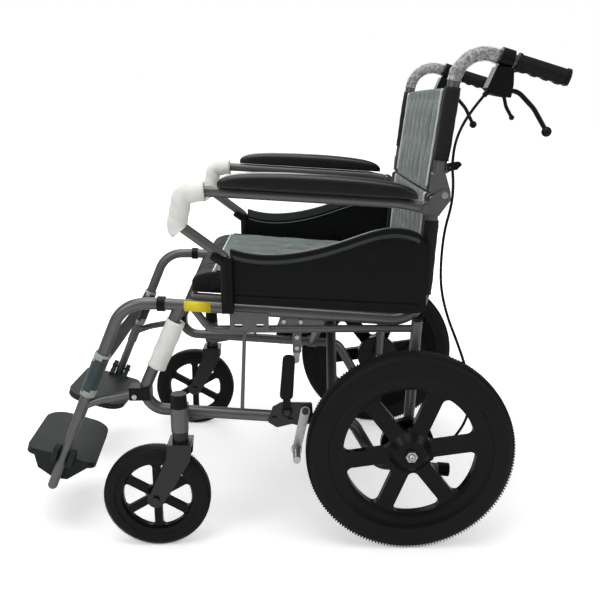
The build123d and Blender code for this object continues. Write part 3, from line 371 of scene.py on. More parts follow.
for brace in ("brace_a", "brace_b"):
    nodes[brace].data.materials.clear()
    nodes[brace].data.materials.append(gunmetal)
print("finished parts", 2 * len(FINISHES) + 2)

# %% [markdown]
# Three fabrics cover the chair. The grey one is a knitted spacer mesh: rows of open cells
# about 2.5 mm apart that catch the light on their rims. The black one is woven nylon
# with a half-millimetre thread. The calf strap's sleeves are a coarser honeycomb.

# %% Fabrics, thread, foam, film and patch


def cell_cloth(name, rim, hole, pitch, depth, rows=0.0, roughness=0.85):
    """Knitted cloth with open cells, pitch in millimetres, with vertical rows if asked."""
    material, tree, shader = start_material(name, Roughness=roughness, Sheen_Weight=0.25, Sheen_Roughness=0.5)
    coordinates = object_coordinates(tree)
    cells = add_node(tree, "ShaderNodeTexVoronoi", {"Scale": 1000 / pitch, "Randomness": 0.25},
                     {"Vector": coordinates})
    cloud = add_node(tree, "ShaderNodeTexNoise", {"Scale": 45, "Detail": 4}, {"Vector": coordinates})
    open_cell = add_node(tree, "ShaderNodeMapRange", {"From Min": 0.15, "From Max": 0.5},
                         {"Value": cells.outputs["Distance"]})
    ribs = add_node(tree, "ShaderNodeTexWave", {"Scale": 40, "Distortion": 0.6, "Detail": 1}, {"Vector": coordinates})
    ribbed = add_node(tree, "ShaderNodeMath", {"operation": "MULTIPLY_ADD", 1: rows},
                      {0: ribs.outputs["Fac"], 2: open_cell.outputs[0]})
    worn = add_node(tree, "ShaderNodeMath", {"operation": "MULTIPLY_ADD", 1: 0.35},
                    {0: cloud.outputs[0], 2: ribbed.outputs[0]})
    share = add_node(tree, "ShaderNodeMapRange", {"From Min": 0.1, "From Max": 1.35 + rows},
                     {"Value": worn.outputs[0]})
    tone = add_node(tree, "ShaderNodeMix", {"data_type": "RGBA"}, {"Factor": share.outputs[0]})
    tone.inputs[6].default_value, tone.inputs[7].default_value = colour(hole), colour(rim)
    bump = add_node(tree, "ShaderNodeBump", {"Strength": 0.7, "Distance": depth / 1000},
                    {"Height": ribbed.outputs[0]})
    tree.links.new(tone.outputs[2], shader.inputs["Base Color"])
    tree.links.new(bump.outputs[0], shader.inputs["Normal"])
    return material


def woven(name, base, thread, roughness, sheen):
    """Plain weave: two sets of ridges crossing at right angles, with a soft colour cloud."""
    material, tree, shader = start_material(name, Roughness=roughness, Sheen_Weight=sheen, Sheen_Roughness=0.4)
    shader.inputs["Specular IOR Level"].default_value = 0.3
    coordinates = object_coordinates(tree)
    bands = 314 / thread / 10
    warp = add_node(tree, "ShaderNodeTexWave", {"Scale": bands, "Distortion": 0.3}, {"Vector": coordinates})
    weft = add_node(tree, "ShaderNodeTexWave", {"Scale": bands, "Distortion": 0.3, "bands_direction": "Z"},
                    {"Vector": coordinates})
    both = add_node(tree, "ShaderNodeMath", {"operation": "MULTIPLY"},
                    {0: warp.outputs["Fac"], 1: weft.outputs["Fac"]})
    cloud = add_node(tree, "ShaderNodeTexNoise", {"Scale": 30, "Detail": 5}, {"Vector": coordinates})
    folds = add_node(tree, "ShaderNodeTexNoise", {"Scale": 14, "Detail": 2, "Distortion": 0.6},
                     {"Vector": coordinates})
    tone = add_node(tree, "ShaderNodeMix", {"data_type": "RGBA"}, {"Factor": cloud.outputs[0]})
    low = colour(base)
    tone.inputs[6].default_value = low
    tone.inputs[7].default_value = (*[part * 1.7 + 0.002 for part in low[:3]], 1)
    fold_bump = add_node(tree, "ShaderNodeBump", {"Strength": 0.5, "Distance": 0.004}, {"Height": folds.outputs[0]})
    bump = add_node(tree, "ShaderNodeBump", {"Strength": 0.5, "Distance": 0.0003},
                    {"Height": both.outputs[0], "Normal": fold_bump.outputs[0]})
    tree.links.new(tone.outputs[2], shader.inputs["Base Color"])
    tree.links.new(bump.outputs[0], shader.inputs["Normal"])
    return material


spacer_mesh = cell_cloth("grey_spacer_mesh", "#6c7875", "#353e3c", 2.5, 0.5, rows=0.25)
honeycomb = cell_cloth("dark_honeycomb_mesh", "#39464a", "#0c1112", 4.0, 0.8)
black_nylon = woven("black_oxford_nylon", "#0f0e0d", 0.5, 0.75, 0.12)
silver_cord = woven("silver_piping_tape", "#b9c0bb", 0.7, 0.55, 0.2)
pale_band = woven("pale_binding_tape", "#8f9693", 0.7, 0.7, 0.2)
grey_thread = woven("grey_polyester_thread", "#565f5d", 0.3, 0.6, 0.1)

foam = moulded("polyethylene_foam", "#dcddd8", 0.7, 2.0, 0.35)
yellow_patch = moulded("yellow_vinyl", "#d9c62a", 0.4, 3.0, 0.08)

# %% [markdown]
# ## Soft goods
# The fabric parts are padded shells. Each starts as a box with rounded edges on a grid
# whose lines run along its seams, and cloth simulation then blows the fabric up between
# the seams, which are held. A point may move only a few millimetres, so each part stays
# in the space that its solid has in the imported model.

# %% Helpers for padded shells


def stops(low, high, radius, cell, seams=()):
    """Grid positions along one direction: close together at the ends and beside seams."""
    marks = [low, low + 0.3 * radius, low + 0.65 * radius, low + radius]
    marks += [low + high - mark for mark in marks]
    for seam in seams:
        marks += [seam - 5, seam - 2, seam, seam + 2, seam + 5]
    marks = sorted(set(marks))
    filled = []
    for start, end in zip(marks, marks[1:]):
        steps = max(1, round((end - start) / cell))
        filled += [start + (end - start) * step / steps for step in range(steps)]
    return filled + [marks[-1]]


def padded_shell(name, grids, radii, place):
    """A closed shell over a box of grid positions with rounded edges; place maps it to the model."""
    numbers, vertices, faces = {}, [], []

    def corner(cell):
        if cell not in numbers:
            numbers[cell] = len(vertices)
            flat = [grid[step] for grid, step in zip(grids, cell)]
            core = [min(max(value, grid[0] + radius), grid[-1] - radius)
                    for value, grid, radius in zip(flat, grids, radii)]
            away = Vector([(value - middle) / radius for value, middle, radius in zip(flat, core, radii)])
            if away.length > 1e-9:
                away.normalize()
            spot = [middle + step * radius for middle, step, radius in zip(core, away, radii)]
            vertices.append(place(*spot))
        return numbers[cell]

    for axis in range(3):
        first, second = [other for other in range(3) if other != axis]
        for end in (0, len(grids[axis]) - 1):
            for i in range(len(grids[first]) - 1):
                for j in range(len(grids[second]) - 1):
                    ring = []
                    for a, b in ((i, j), (i + 1, j), (i + 1, j + 1), (i, j + 1)):
                        cell = [0, 0, 0]
                        cell[axis], cell[first], cell[second] = end, a, b
                        ring.append(corner(tuple(cell)))
                    faces.append(tuple(ring))
    return add_piece(name, vertices, faces)


def blow_up(piece, held, pressure, cap):
    """Cloth simulation of a stuffed shell; held says of each point whether a seam holds it."""
    mesh = piece.data
    rest = [vertex.co.copy() for vertex in mesh.vertices]
    seams = piece.vertex_groups.new(name="seams")
    seams.add([index for index, point in enumerate(rest) if held(point)], 1.0, "REPLACE")
    cloth = piece.modifiers.new("fabric", "CLOTH")
    cloth.settings.quality = 5
    cloth.settings.mass = 0.25
    cloth.settings.tension_stiffness = 12
    cloth.settings.compression_stiffness = 12
    cloth.settings.bending_stiffness = 0.4
    cloth.settings.shrink_min = -0.02
    cloth.settings.use_pressure = True
    cloth.settings.uniform_pressure_force = pressure
    cloth.settings.vertex_group_mass = "seams"
    cloth.settings.effector_weights.gravity = 0
    for step in range(1, 21):
        scene.frame_set(step)
    graph = bpy.context.evaluated_depsgraph_get()
    moved = [vertex.co.copy() for vertex in piece.evaluated_get(graph).data.vertices]
    piece.modifiers.remove(cloth)
    scene.frame_set(1)
    for vertex, start, end in zip(mesh.vertices, rest, moved):
        shift = end - start
        vertex.co = start + shift * min(1, cap / max(shift.length, 1e-9))
    piece.vertex_groups.clear()
    surface = piece.modifiers.new("finer", "SUBSURF")
    surface.levels = surface.render_levels = 1
    graph = bpy.context.evaluated_depsgraph_get()
    finer = bpy.data.meshes.new_from_object(piece.evaluated_get(graph))
    piece.modifiers.remove(surface)
    piece.data = finer
    finer.polygons.foreach_set("use_smooth", [True] * len(finer.polygons))


def surface_line(piece, starts, direction, lift=0.0):
    """Where rays from the starts, in a direction, meet a piece: a line on its surface."""
    mesh = piece.data
    tree = BVHTree.FromPolygons([vertex.co for vertex in mesh.vertices], [face.vertices for face in mesh.polygons])
    found = []
    for start in starts:
        spot, normal, _, _ = tree.ray_cast(start, direction)
        if spot is not None:
            found.append(spot - direction * lift)
    return found


def soft(piece, body, node=None, squash=None):
    """What every fabric piece needs: the body it rides on and the node it replaces, which is hidden; with squash it
    gets its own copy of its mesh.
    """
    if squash:
        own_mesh(piece)
    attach(piece, body)
    if node:
        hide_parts(node)
    return piece


# %% [markdown]
# ### Stitches
# A stitch is a short raised dash every 4 mm. Geometry Nodes lay them: the seam's line is
# divided evenly, a small capsule stands on every point and turns along the line.

# %% A node tree that sews a seam


def stitch_tree():
    """Geometry Nodes: a line becomes a row of stitches."""
    tree = bpy.data.node_groups.new("row_of_stitches", "GeometryNodeTree")
    face = tree.interface
    face.new_socket("Line", in_out="INPUT", socket_type="NodeSocketGeometry")
    face.new_socket("Pitch", in_out="INPUT", socket_type="NodeSocketFloat")
    face.new_socket("Thread", in_out="INPUT", socket_type="NodeSocketFloat")
    face.new_socket("Material", in_out="INPUT", socket_type="NodeSocketMaterial")
    face.new_socket("Stitches", in_out="OUTPUT", socket_type="NodeSocketGeometry")
    given = add_node(tree, "NodeGroupInput")
    points = add_node(tree, "GeometryNodeCurveToPoints", {"mode": "LENGTH"},
                      {"Curve": given.outputs["Line"], "Length": given.outputs["Pitch"]})
    dash = add_node(tree, "GeometryNodeMeshIcoSphere", {"Subdivisions": 1}, {"Radius": given.outputs["Thread"]})
    row = add_node(tree, "GeometryNodeInstanceOnPoints", {"Scale": (1, 1, 3.2)},
                   {"Points": points.outputs["Points"], "Instance": dash.outputs["Mesh"],
                    "Rotation": points.outputs["Rotation"]})
    real = add_node(tree, "GeometryNodeRealizeInstances", {}, {"Geometry": row.outputs["Instances"]})
    finish = add_node(tree, "GeometryNodeSetMaterial", {},
                      {"Geometry": real.outputs["Geometry"], "Material": given.outputs["Material"]})
    add_node(tree, "NodeGroupOutput", {}, {"Stitches": finish.outputs["Geometry"]})
    return tree


STITCHES = stitch_tree()


def run_tree(tree, name, line, values):
    """Run a node tree on a line of points and keep its result as a plain mesh."""
    curve = bpy.data.curves.new(name, "CURVE")
    curve.dimensions = "3D"
    spline = curve.splines.new("POLY")
    spline.points.add(len(line) - 1)
    for place, point in zip(spline.points, line):
        place.co = (*point, 1)
    holder = bpy.data.objects.new(name + "_line", curve)
    scene.collection.objects.link(holder)
    modifier = holder.modifiers.new("tree", "NODES")
    modifier.node_group = tree
    for item in tree.interface.items_tree:
        if item.in_out == "INPUT" and item.name in values:
            modifier[item.identifier] = values[item.name]
    graph = bpy.context.evaluated_depsgraph_get()
    mesh = bpy.data.meshes.new_from_object(holder.evaluated_get(graph), depsgraph=graph)
    bpy.data.objects.remove(holder)
    piece = bpy.data.objects.new(name, mesh)
    scene.collection.objects.link(piece)
    return piece


def sew(name, line, body, squash, thread=0.0007, pitch=0.0042):
    """A row of stitches along a line, on a body."""
    row = run_tree(STITCHES, name, line, {"Pitch": pitch, "Thread": thread, "Material": grey_thread})
    return soft(row, body, squash=squash)


def dress(piece, *choices):
    """Give a piece its materials; a choice is (material, test of a face's middle)."""
    piece.data.materials.clear()
    for finish, _ in choices:
        piece.data.materials.append(finish)
    for face in piece.data.polygons:
        for number, (_, test) in enumerate(choices):
            if test is None or test(face):
                face.material_index = number
                break


# %% [markdown]
# ### Seat cushion
# The cushion is a 44 mm pad whose front edge falls away in a waterfall. Its top is a grey
# spacer mesh with a silver piping along the front edge. Its borders are black nylon.

# %% Seat cushion
LEAN = math.radians(4.2)
SEAT_ORIGIN = 240


def seat_place(x, along, rise):
    """A point of the seat: across, along it and above its pivot line, in millimetres."""
    return at(x, along * math.cos(LEAN) + rise * math.sin(LEAN),
              SEAT_ORIGIN - along * math.sin(LEAN) + rise * math.cos(LEAN))


SEAT_SEAMS = (-132, -66, 0, 66, 132)
SEAT_PIPING = -128
CUSHION_LOW, CUSHION_HIGH = 223.2, 265.5
SEAT_UP = seat_place(0, 0, 1) - seat_place(0, 0, 0)
SEAT_UP.normalize()


def cushion_place(x, along, rise):
    """The cushion's shape: waterfall front, sides drawn in, dents along the seams."""
    share = (rise - CUSHION_LOW) / (CUSHION_HIGH - CUSHION_LOW)
    middle = (along - 34) / 200
    x -= 4.5 * math.copysign(1, x) * max(0, 1 - middle * middle) * min(1, abs(x) / 215)
    fall = max(0, (-116 - along) / 52)
    rise -= share * 17 * fall * fall
    if share > 0.99 and -150 < along < 228:
        dent = max(math.exp(-((x - seam) / 3.2) ** 2) for seam in SEAT_SEAMS)
        rise -= 2.0 * dent + 2.4 * math.exp(-((along - SEAT_PIPING) / 4) ** 2)
        rise += 1.5 * (1 - (x / 215) ** 2)
    return seat_place(x, along, rise)


cushion = padded_shell("seat_cushion_pad", (
    stops(-215.5, 215.5, 9, 11, SEAT_SEAMS), stops(-166, 234, 10, 11, (SEAT_PIPING,)),
    stops(CUSHION_LOW, CUSHION_HIGH, 9, 9)), (9, 10, 9), cushion_place)


def seat_local(point):
    """Across, along and above the seat's pivot line, in millimetres, of a point of the model."""
    y, z = point.y * 1000 + DRAWN_MIDDLE, point.z * 1000 - SEAT_ORIGIN
    return point.x * 1000, y * math.cos(LEAN) - z * math.sin(LEAN), y * math.sin(LEAN) + z * math.cos(LEAN)


def seat_held(point):
    """Seams and underside of the cushion, which the simulation holds."""
    x, along, rise = seat_local(point)
    return rise < CUSHION_LOW + 1 or any(abs(x - seam) < 1 for seam in SEAT_SEAMS) \
        or abs(along - SEAT_PIPING) < 1 or abs(abs(x) - 206.5) < 1.5


blow_up(cushion, seat_held, 4, 0.006)
print("seat cushion", len(cushion.data.polygons), "faces")

# %% [markdown]
# ### Back
# The backrest hangs between the two canes, in a lower and an upper half that meet at the
# folding hinge. A grey padded mesh with sewn channels runs down its middle, edged with
# silver piping. Black nylon runs from there round each cane as a sewn sleeve.

# %% Back panels, lower and upper
PANEL_HALF = 217.0
MESH_HALF = 193.0
BACK_SEAMS = (-130, -78, -26, 26, 78, 130)
SLEEVE_HOLE = 11.5
BACKS = {
    "back_lower": {"foot": (273, 425.95), "lean": 3.5, "panel": (478, 656.6), "sleeve": (478, 612),
                   "body": "left_frame", "sleeve_bodies": ("left_frame", "right_frame")},
    "back_upper": {"foot": (291, 672), "lean": 6.9, "panel": (657.4, 838), "sleeve": (716, 838),
                   "body": "left_upper_back", "sleeve_bodies": ("left_upper_back", "right_upper_back")},
}


def leaning(foot, lean, x, height, forward):
    """A point beside a leaning tube, at a height of its centre line and a distance ahead of it."""
    turn = math.radians(lean)
    y = foot[0] + (height - foot[1]) * math.tan(turn)
    return at(x, y - forward * math.cos(turn), height + forward * math.sin(turn))


def back_profile(x, forward):
    """How far the pad stands out: a crowned mesh centre with channels and thin black sides."""
    inside = max(0, 1 - (x / PANEL_HALF) ** 2)
    forward += 2.5 * inside
    if forward > 0:
        edge = 1 / (1 + math.exp((abs(x) - MESH_HALF) / 2.5))
        dent = max(math.exp(-((x - seam) / 3) ** 2) for seam in BACK_SEAMS)
        forward += (3.2 * edge - 1.8 * dent * edge) * min(1, max(0, forward / 6))
    return forward


back_pieces = {}
for name, back in BACKS.items():
    low, high = back["panel"]

    def back_place(x, forward, height, back=back):
        return leaning(back["foot"], back["lean"], x, height, back_profile(x, forward))

    pad = padded_shell(name + "_pad", (
        stops(-PANEL_HALF, PANEL_HALF, 6, 13, (*BACK_SEAMS, -MESH_HALF, MESH_HALF)),
        stops(-7.5, 5.5, 5, 8), stops(low, high, 5, 13)), (6, 5, 5), back_place)
    back_pieces[name] = pad

    def back_held(point, low=low, high=high):
        x, height = point.x * 1000, point.z * 1000
        return any(abs(x - seam) < 1 for seam in (*BACK_SEAMS, -MESH_HALF, MESH_HALF)) \
            or abs(x) > PANEL_HALF - 7 or height < low + 3 or height > high - 3

    blow_up(pad, back_held, 4, 0.005)
    print(name, len(pad.data.polygons), "faces")


# %% [markdown]
# ### Sleeves
# The nylon wraps round each cane and is sewn to itself, so a sleeve is a teardrop round
# the tube with a few soft folds. The calf strap has the same kind of sleeve, in a dark
# honeycomb mesh with a pale band at each end.

# %% Sleeves round the tubes


def teardrop(angle, radius, reach, tip):
    """A point of the outline round a tube and a smaller roll at reach beside it."""
    ahead, up = math.cos(angle), math.sin(angle)
    return (reach + ahead * tip, up * tip) if ahead * reach + tip > radius else (ahead * radius, up * radius)


def sleeve(name, sign, foot, lean, ends, radius, reach, tip, folds, half=240):
    """A closed ring of fabric round a leaning tube, with a hole for the tube."""
    rings, sides = max(8, round((ends[1] - ends[0]) / 5)), 40
    vertices = []
    for step in range(rings + 1):
        share = step / rings
        height = ends[0] + (ends[1] - ends[0]) * share
        pinch = 1 - 0.06 * math.exp(-((share - 0.03) / 0.03) ** 2) - 0.06 * math.exp(-((share - 0.97) / 0.03) ** 2)
        for side in range(sides):
            angle = 2 * math.pi * side / sides
            out, forward = teardrop(angle, radius, reach, tip)
            wave = 1 + folds * math.sin(3 * angle + 17 * share) * math.sin(9.5 * share + 2 * angle)
            vertices.append(leaning(foot, lean, sign * (half - out * pinch * wave), height, forward * pinch * wave))
    for step in range(rings + 1):
        height = ends[0] + (ends[1] - ends[0]) * step / rings
        for side in range(sides):
            angle = 2 * math.pi * side / sides
            vertices.append(leaning(foot, lean, sign * (half - math.cos(angle) * SLEEVE_HOLE), height,
                                    math.sin(angle) * SLEEVE_HOLE))
    return add_piece(name, vertices, hollow_faces(rings + 1, sides))


sleeves = {}
for name, back in BACKS.items():
    for side, sign, body in zip(SIDES, SIDES.values(), back["sleeve_bodies"]):
        sleeves[f"{name}_{side}_sleeve"] = (sleeve(
            f"{name}_{side}_sleeve", sign, back["foot"], back["lean"], back["sleeve"], 13.6, 15.5, 5.5, 0.035), body)

HANGER_FOOT, HANGER_LEAN = (-271, 460.69), 23.4
STRAP = (285, 366)


for side, sign in SIDES.items():
    sleeves[f"calf_{side}_sleeve"] = (sleeve(
        f"calf_{side}_sleeve", sign, HANGER_FOOT, HANGER_LEAN, STRAP, 14.6, 15.5, 4, 0.02), f"{side}_frame")

strap = padded_shell("calf_strap_web", (stops(-214, 214, 2.2, 12), stops(5.8, 10.2, 2, 4), stops(*STRAP, 3, 9)),
                        (2.2, 2, 3), lambda x, forward, height: leaning(
                            HANGER_FOOT, HANGER_LEAN, x, height, forward - 2 * max(0, 1 - (x / 214) ** 2)))
print("sleeves", len(sleeves))


# %% [markdown]
# ### Trims, materials and what the fabric rides on
# Piping and stitches lie on the finished surfaces, found by rays from outside. The sleeves
# stay round their own tubes.

# %% Materials, bodies and trims of the fabric parts
CUSHION_SQUASH = (-208, 0.39)
BACK_SQUASH = (PANEL_HALF, 0.322)


def on_top(face):
    """Whether a face of the cushion belongs to its mesh top."""
    x, along, rise = seat_local(face.center)
    return face.normal.dot(SEAT_UP) > 0.35 and abs(x) < 207 and along > SEAT_PIPING and along < 226


dress(cushion, (spacer_mesh, on_top), (black_nylon, None))
soft(cushion, "seat", "seat_cushion", CUSHION_SQUASH)
DOWN = -SEAT_UP
edge = surface_line(cushion, [seat_place(x, SEAT_PIPING, 290) for x in range(-206, 207, 4)], DOWN, 0.0012)
soft(skin_line("seat_front_piping", edge, 0.0021, 10), "seat", squash=CUSHION_SQUASH)
for number, seam in enumerate(SEAT_SEAMS):
    line = surface_line(cushion, [seat_place(seam, along, 290) for along in range(-122, 224, 4)], DOWN, 0.0003)
    sew(f"seat_stitches_{number}", line, "seat", CUSHION_SQUASH)
for side, sign in SIDES.items():
    line = surface_line(cushion, [seat_place(sign * 207, along, 290) for along in range(-122, 224, 4)], DOWN, 0.0008)
    soft(skin_line(f"seat_{side}_piping", line, 0.0016, 8), "seat", squash=CUSHION_SQUASH)

for name, back in BACKS.items():
    pad = back_pieces[name]
    low, high = back["panel"]
    dress(pad, (spacer_mesh, lambda face: face.normal.y < -0.3 and abs(face.center.x) < MESH_HALF / 1000),
          (black_nylon, None))
    soft(pad, back["body"], name, BACK_SQUASH)
    ahead = Vector((0, 1, 0))
    heights = [low + (high - low) * step / 40 for step in range(41)]
    heights = [min(max(height, low + 2.5), high - 2.5) for height in heights]
    for side, sign in SIDES.items():
        line = surface_line(pad, [leaning(back["foot"], back["lean"], sign * MESH_HALF, height, 60)
                                  for height in heights], ahead, 0.0010)
        soft(skin_line(f"{name}_{side}_piping", line, 0.0024, 10), back["body"], squash=BACK_SQUASH)
    for number, seam in enumerate(BACK_SEAMS):
        line = surface_line(pad, [leaning(back["foot"], back["lean"], seam, height, 60) for height in heights],
                            ahead, 0.0002)
        sew(f"{name}_stitches_{number}", line, back["body"], BACK_SQUASH)
for name, (piece, body) in sleeves.items():
    if name.startswith("calf"):
        ends = [at(0, 0, height).z for height in (STRAP[0] + 11, STRAP[1] - 9)]
        dress(piece, (honeycomb, lambda face: ends[0] < face.center.z < ends[1]), (pale_band, None))
    else:
        dress(piece, (black_nylon, None))
    soft(piece, body)
dress(strap, (black_nylon, None))
soft(strap, "left_frame", "calf_strap", BACK_SQUASH)
SEAT_SIDE_PIPINGS = [f"seat_{side}_piping" for side in SIDES]
for piece in bpy.data.objects:
    if piece.type == "MESH" and "piping" in piece.name:
        piece.data.materials.clear()
        piece.data.materials.append(black_nylon if piece.name in SEAT_SIDE_PIPINGS else silver_cord)

# %% [markdown]
# ### Armrest pads
# An armrest pad is moulded polyurethane foam with its own skin: flat below, crowned
# above, with a parting line round its lower edge. The sections are superellipses, so
# the ends and shoulders are soft.

# %% Armrest pads
PAD_FRONT, PAD_REAR, PAD_X, PAD_HALF = -88, 250, 279, 22.5
PAD_WAIST = 8.5
SIDE_STEPS, LENGTH_STEPS = 32, 48


def pad_under(y):
    """Height of the pad's underside, which follows the sloping arm tube."""
    return 646 + (y - 222) * -0.0618 + 9.6


def armrest_pad(name, sign):
    """A closed loft of superellipse sections along the arm."""
    vertices = []
    for step in range(LENGTH_STEPS + 1):
        turn = math.pi * step / LENGTH_STEPS
        share = 0.5 - 0.5 * math.cos(turn)
        y = PAD_FRONT + (PAD_REAR - PAD_FRONT) * share
        bulge = abs(2 * share - 1)
        end = max(0, 1 - bulge ** 9) ** 0.42
        height = (31.5 - 9 * (bulge ** 2.4)) * (0.25 + 0.75 * end)
        half = PAD_HALF * (0.55 + 0.45 * end)
        for side in range(SIDE_STEPS):
            angle = 2 * math.pi * side / SIDE_STEPS
            wide, tall = math.cos(angle), math.sin(angle)
            across = math.copysign(abs(wide) ** (0.55 if tall > 0 else 0.28), wide) * half
            up = math.copysign(abs(tall) ** (0.72 if tall > 0 else 0.35), tall)
            z = PAD_WAIST + up * (height - PAD_WAIST) if up > 0 else PAD_WAIST + up * (PAD_WAIST - 0.3)
            if abs(up) < 0.12:
                across *= 0.965
            vertices.append(at(sign * (PAD_X + across), y, pad_under(y) + z))
    rings = LENGTH_STEPS + 1
    return add_piece(name, vertices, ring_faces(rings, SIDE_STEPS) + cap_faces(rings, SIDE_STEPS))


for side, sign in SIDES.items():
    pad = armrest_pad(f"{side}_armrest_cushion", sign)
    pad.data.materials.append(armrest_skin)
    soft(pad, f"{side}_armrest", f"{side}_armrest_pad")

# %% [markdown]
# ### Packing foam and a plain patch
# The photographed chair is new: white foam tubes still guard the front bend of each
# armrest and the near front leg, and a plain yellow patch sits on the near seat rail.

# %% Foam tubes and patch


def foam_tube(name, points, inner, outer, body):
    """A split foam tube pushed over a bent tube: a thick ring along a smooth line."""
    line = smooth_line([at(*point) for point in points], name + "_line")
    sides = 24
    vertices = []
    count = len(line)
    for radius in (outer, inner):
        side = Vector((1, 0, 0))
        for index, point in enumerate(line):
            along = (line[min(index + 1, count - 1)] - line[max(index - 1, 0)]).normalized()
            side = (side - along * side.dot(along)).normalized()
            across = along.cross(side)
            for turn in range(sides):
                angle = 2 * math.pi * turn / sides
                dent = 1 + (0.03 * math.sin(2 * angle + index * 0.7) if radius == outer else 0)
                vertices.append(point + (side * math.cos(angle) + across * math.sin(angle)) * radius * dent / 1000)
    piece = add_piece(name, vertices, hollow_faces(count, sides))
    piece.data.materials.append(foam)
    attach(piece, body)
    return piece

FRAME_X, ARM_X, RAIL_HEIGHT = 240, 266, 446
ARM_BEND = [(-112, 666.5), (-136, 665), (-151, 660), (-155, 640), (-160, 618), (-163, 604), (-157, 597)]
for side, sign in SIDES.items():
    foam_tube(f"{side}_arm_foam", [(sign * ARM_X, y, z) for y, z in ARM_BEND], 10.2, 17.5, f"{side}_armrest")
LEG_TOP_Y = -166
LEG_FALL = math.tan(math.radians(24.4))
leg_line = [(FRAME_X, LEG_TOP_Y - (447 - height) * LEG_FALL, height) for height in (428, 400, 370, 340)]
foam_tube("left_leg_foam", leg_line, 11.6, 17.5, "left_frame")

patch_turn = [math.radians(angle) for angle in range(-62, 63, 6)]
patch_ends = (-158, -110)
patch_points, patch_faces = [], []
for radius in (11.35, 11.1):
    for end in patch_ends:
        for turn in patch_turn:
            rail_z = RAIL_HEIGHT - end * math.tan(LEAN)
            patch_points.append(at(FRAME_X + radius * math.cos(turn), end, rail_z + radius * math.sin(turn)))
steps = len(patch_turn)
for step in range(steps - 1):
    patch_faces.append((step, step + 1, steps + step + 1, steps + step))
    patch_faces.append((2 * steps + step, 3 * steps + step, 3 * steps + step + 1, 2 * steps + step + 1))
    for row in (0, 1):
        start = row * steps + step
        patch_faces.append((start, start + 1, 2 * steps + start + 1, 2 * steps + start))
for end in (0, steps - 1):
    patch_faces.append((end, steps + end, 3 * steps + end, 2 * steps + end))
patch = add_piece("plain_patch", patch_points, patch_faces)
patch.data.materials.append(yellow_patch)
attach(patch, "left_frame")

# %% [markdown]
# ## Rigid details
# Small fitted or repeated parts finish the moulded pieces: the bevelled lip and inner
# ridge of each side panel, the boot over each armrest's knee, and the knurled shoulders
# of the tyres.

# %% Panel lips and knee boots
LIP_ENDS = (-69, 262)
PANEL_FACE = 256


def swept_band(name, line, section):
    """A closed strip: section gives x and z offsets round it at every point of a line."""
    vertices = [point + Vector((x, 0, z)) / 1000 for point in line for x, z in section]
    faces = ring_faces(len(line), len(section)) + cap_faces(len(line), len(section))
    return add_piece(name, vertices, faces, smooth=False)


# The lip and the inner ridge are the panel's own black ABS, coloured a lighter grey: a painted highlight where the
# bevel catches the light.
lip_painted_highlight_abs = moulded("lip_abs_painted_highlight", "#2a3130", 0.42, 1.2, 0.2, gloss=0.5)
for side, sign in SIDES.items():
    above = [at(sign * (PANEL_FACE + 3), y, 700) for y in range(*LIP_ENDS, 5)]
    edge = surface_line(nodes[f"{side}_side_panel"], above, Vector((0, 0, -1)))
    for point in edge:
        point.x = sign * PANEL_FACE / 1000
    lip = swept_band(f"{side}_panel_lip", edge, [(-0.4 * sign, 0.4), (-0.2 * sign, 1.3), (8.6 * sign, 1.3),
                                                 (14 * sign, -14.5), (8 * sign, -17.5), (-0.4 * sign, -16)])
    lip.data.materials.append(lip_painted_highlight_abs)
    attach(lip, f"{side}_armrest")
    inner = swept_band(f"{side}_panel_ridge", [point + Vector((0, 0, -0.022)) for point in edge],
                       [(-0.2 * sign, 1.5), (-1.6 * sign, 0), (-0.2 * sign, -1.5), (2 * sign, 0)])
    inner.data.materials.append(lip_painted_highlight_abs)
    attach(inner, f"{side}_armrest")
    knee_points = ((-102, 559), (-90, 551), (-77, 542), (-77, 524), (-77, 500))
    knee = smooth_line([at(sign * ARM_X, y, z) for y, z in knee_points], f"{side}_knee_line")
    boot = skin_line(f"{side}_knee_boot", knee, lambda share: 0.0118 if share > 0.04 else 0.0109, 20)
    boot.data.materials.append(black_abs)
    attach(boot, f"{side}_armrest")

# %% [markdown]
# The tyres are solid, with fine cross knurls along both shoulders. A node tree stands
# one small block on each point of a circle, two hundred round a rear tyre.

# %% A node tree for knurled shoulders


def knurl_tree():
    """Geometry Nodes: a closed line becomes a ring of small blocks."""
    tree = bpy.data.node_groups.new("ring_of_knurls", "GeometryNodeTree")
    face = tree.interface
    face.new_socket("Line", in_out="INPUT", socket_type="NodeSocketGeometry")
    face.new_socket("Count", in_out="INPUT", socket_type="NodeSocketInt")
    face.new_socket("Size", in_out="INPUT", socket_type="NodeSocketVector")
    face.new_socket("Material", in_out="INPUT", socket_type="NodeSocketMaterial")
    face.new_socket("Knurls", in_out="OUTPUT", socket_type="NodeSocketGeometry")
    given = add_node(tree, "NodeGroupInput")
    points = add_node(tree, "GeometryNodeCurveToPoints", {"mode": "COUNT"},
                      {"Curve": given.outputs["Line"], "Count": given.outputs["Count"]})
    block = add_node(tree, "GeometryNodeMeshCube", {}, {"Size": given.outputs["Size"]})
    row = add_node(tree, "GeometryNodeInstanceOnPoints", {},
                   {"Points": points.outputs["Points"], "Instance": block.outputs["Mesh"],
                    "Rotation": points.outputs["Rotation"]})
    real = add_node(tree, "GeometryNodeRealizeInstances", {}, {"Geometry": row.outputs["Instances"]})
    finish = add_node(tree, "GeometryNodeSetMaterial", {},
                      {"Geometry": real.outputs["Geometry"], "Material": given.outputs["Material"]})
    add_node(tree, "NodeGroupOutput", {}, {"Knurls": finish.outputs["Geometry"]})
    return tree


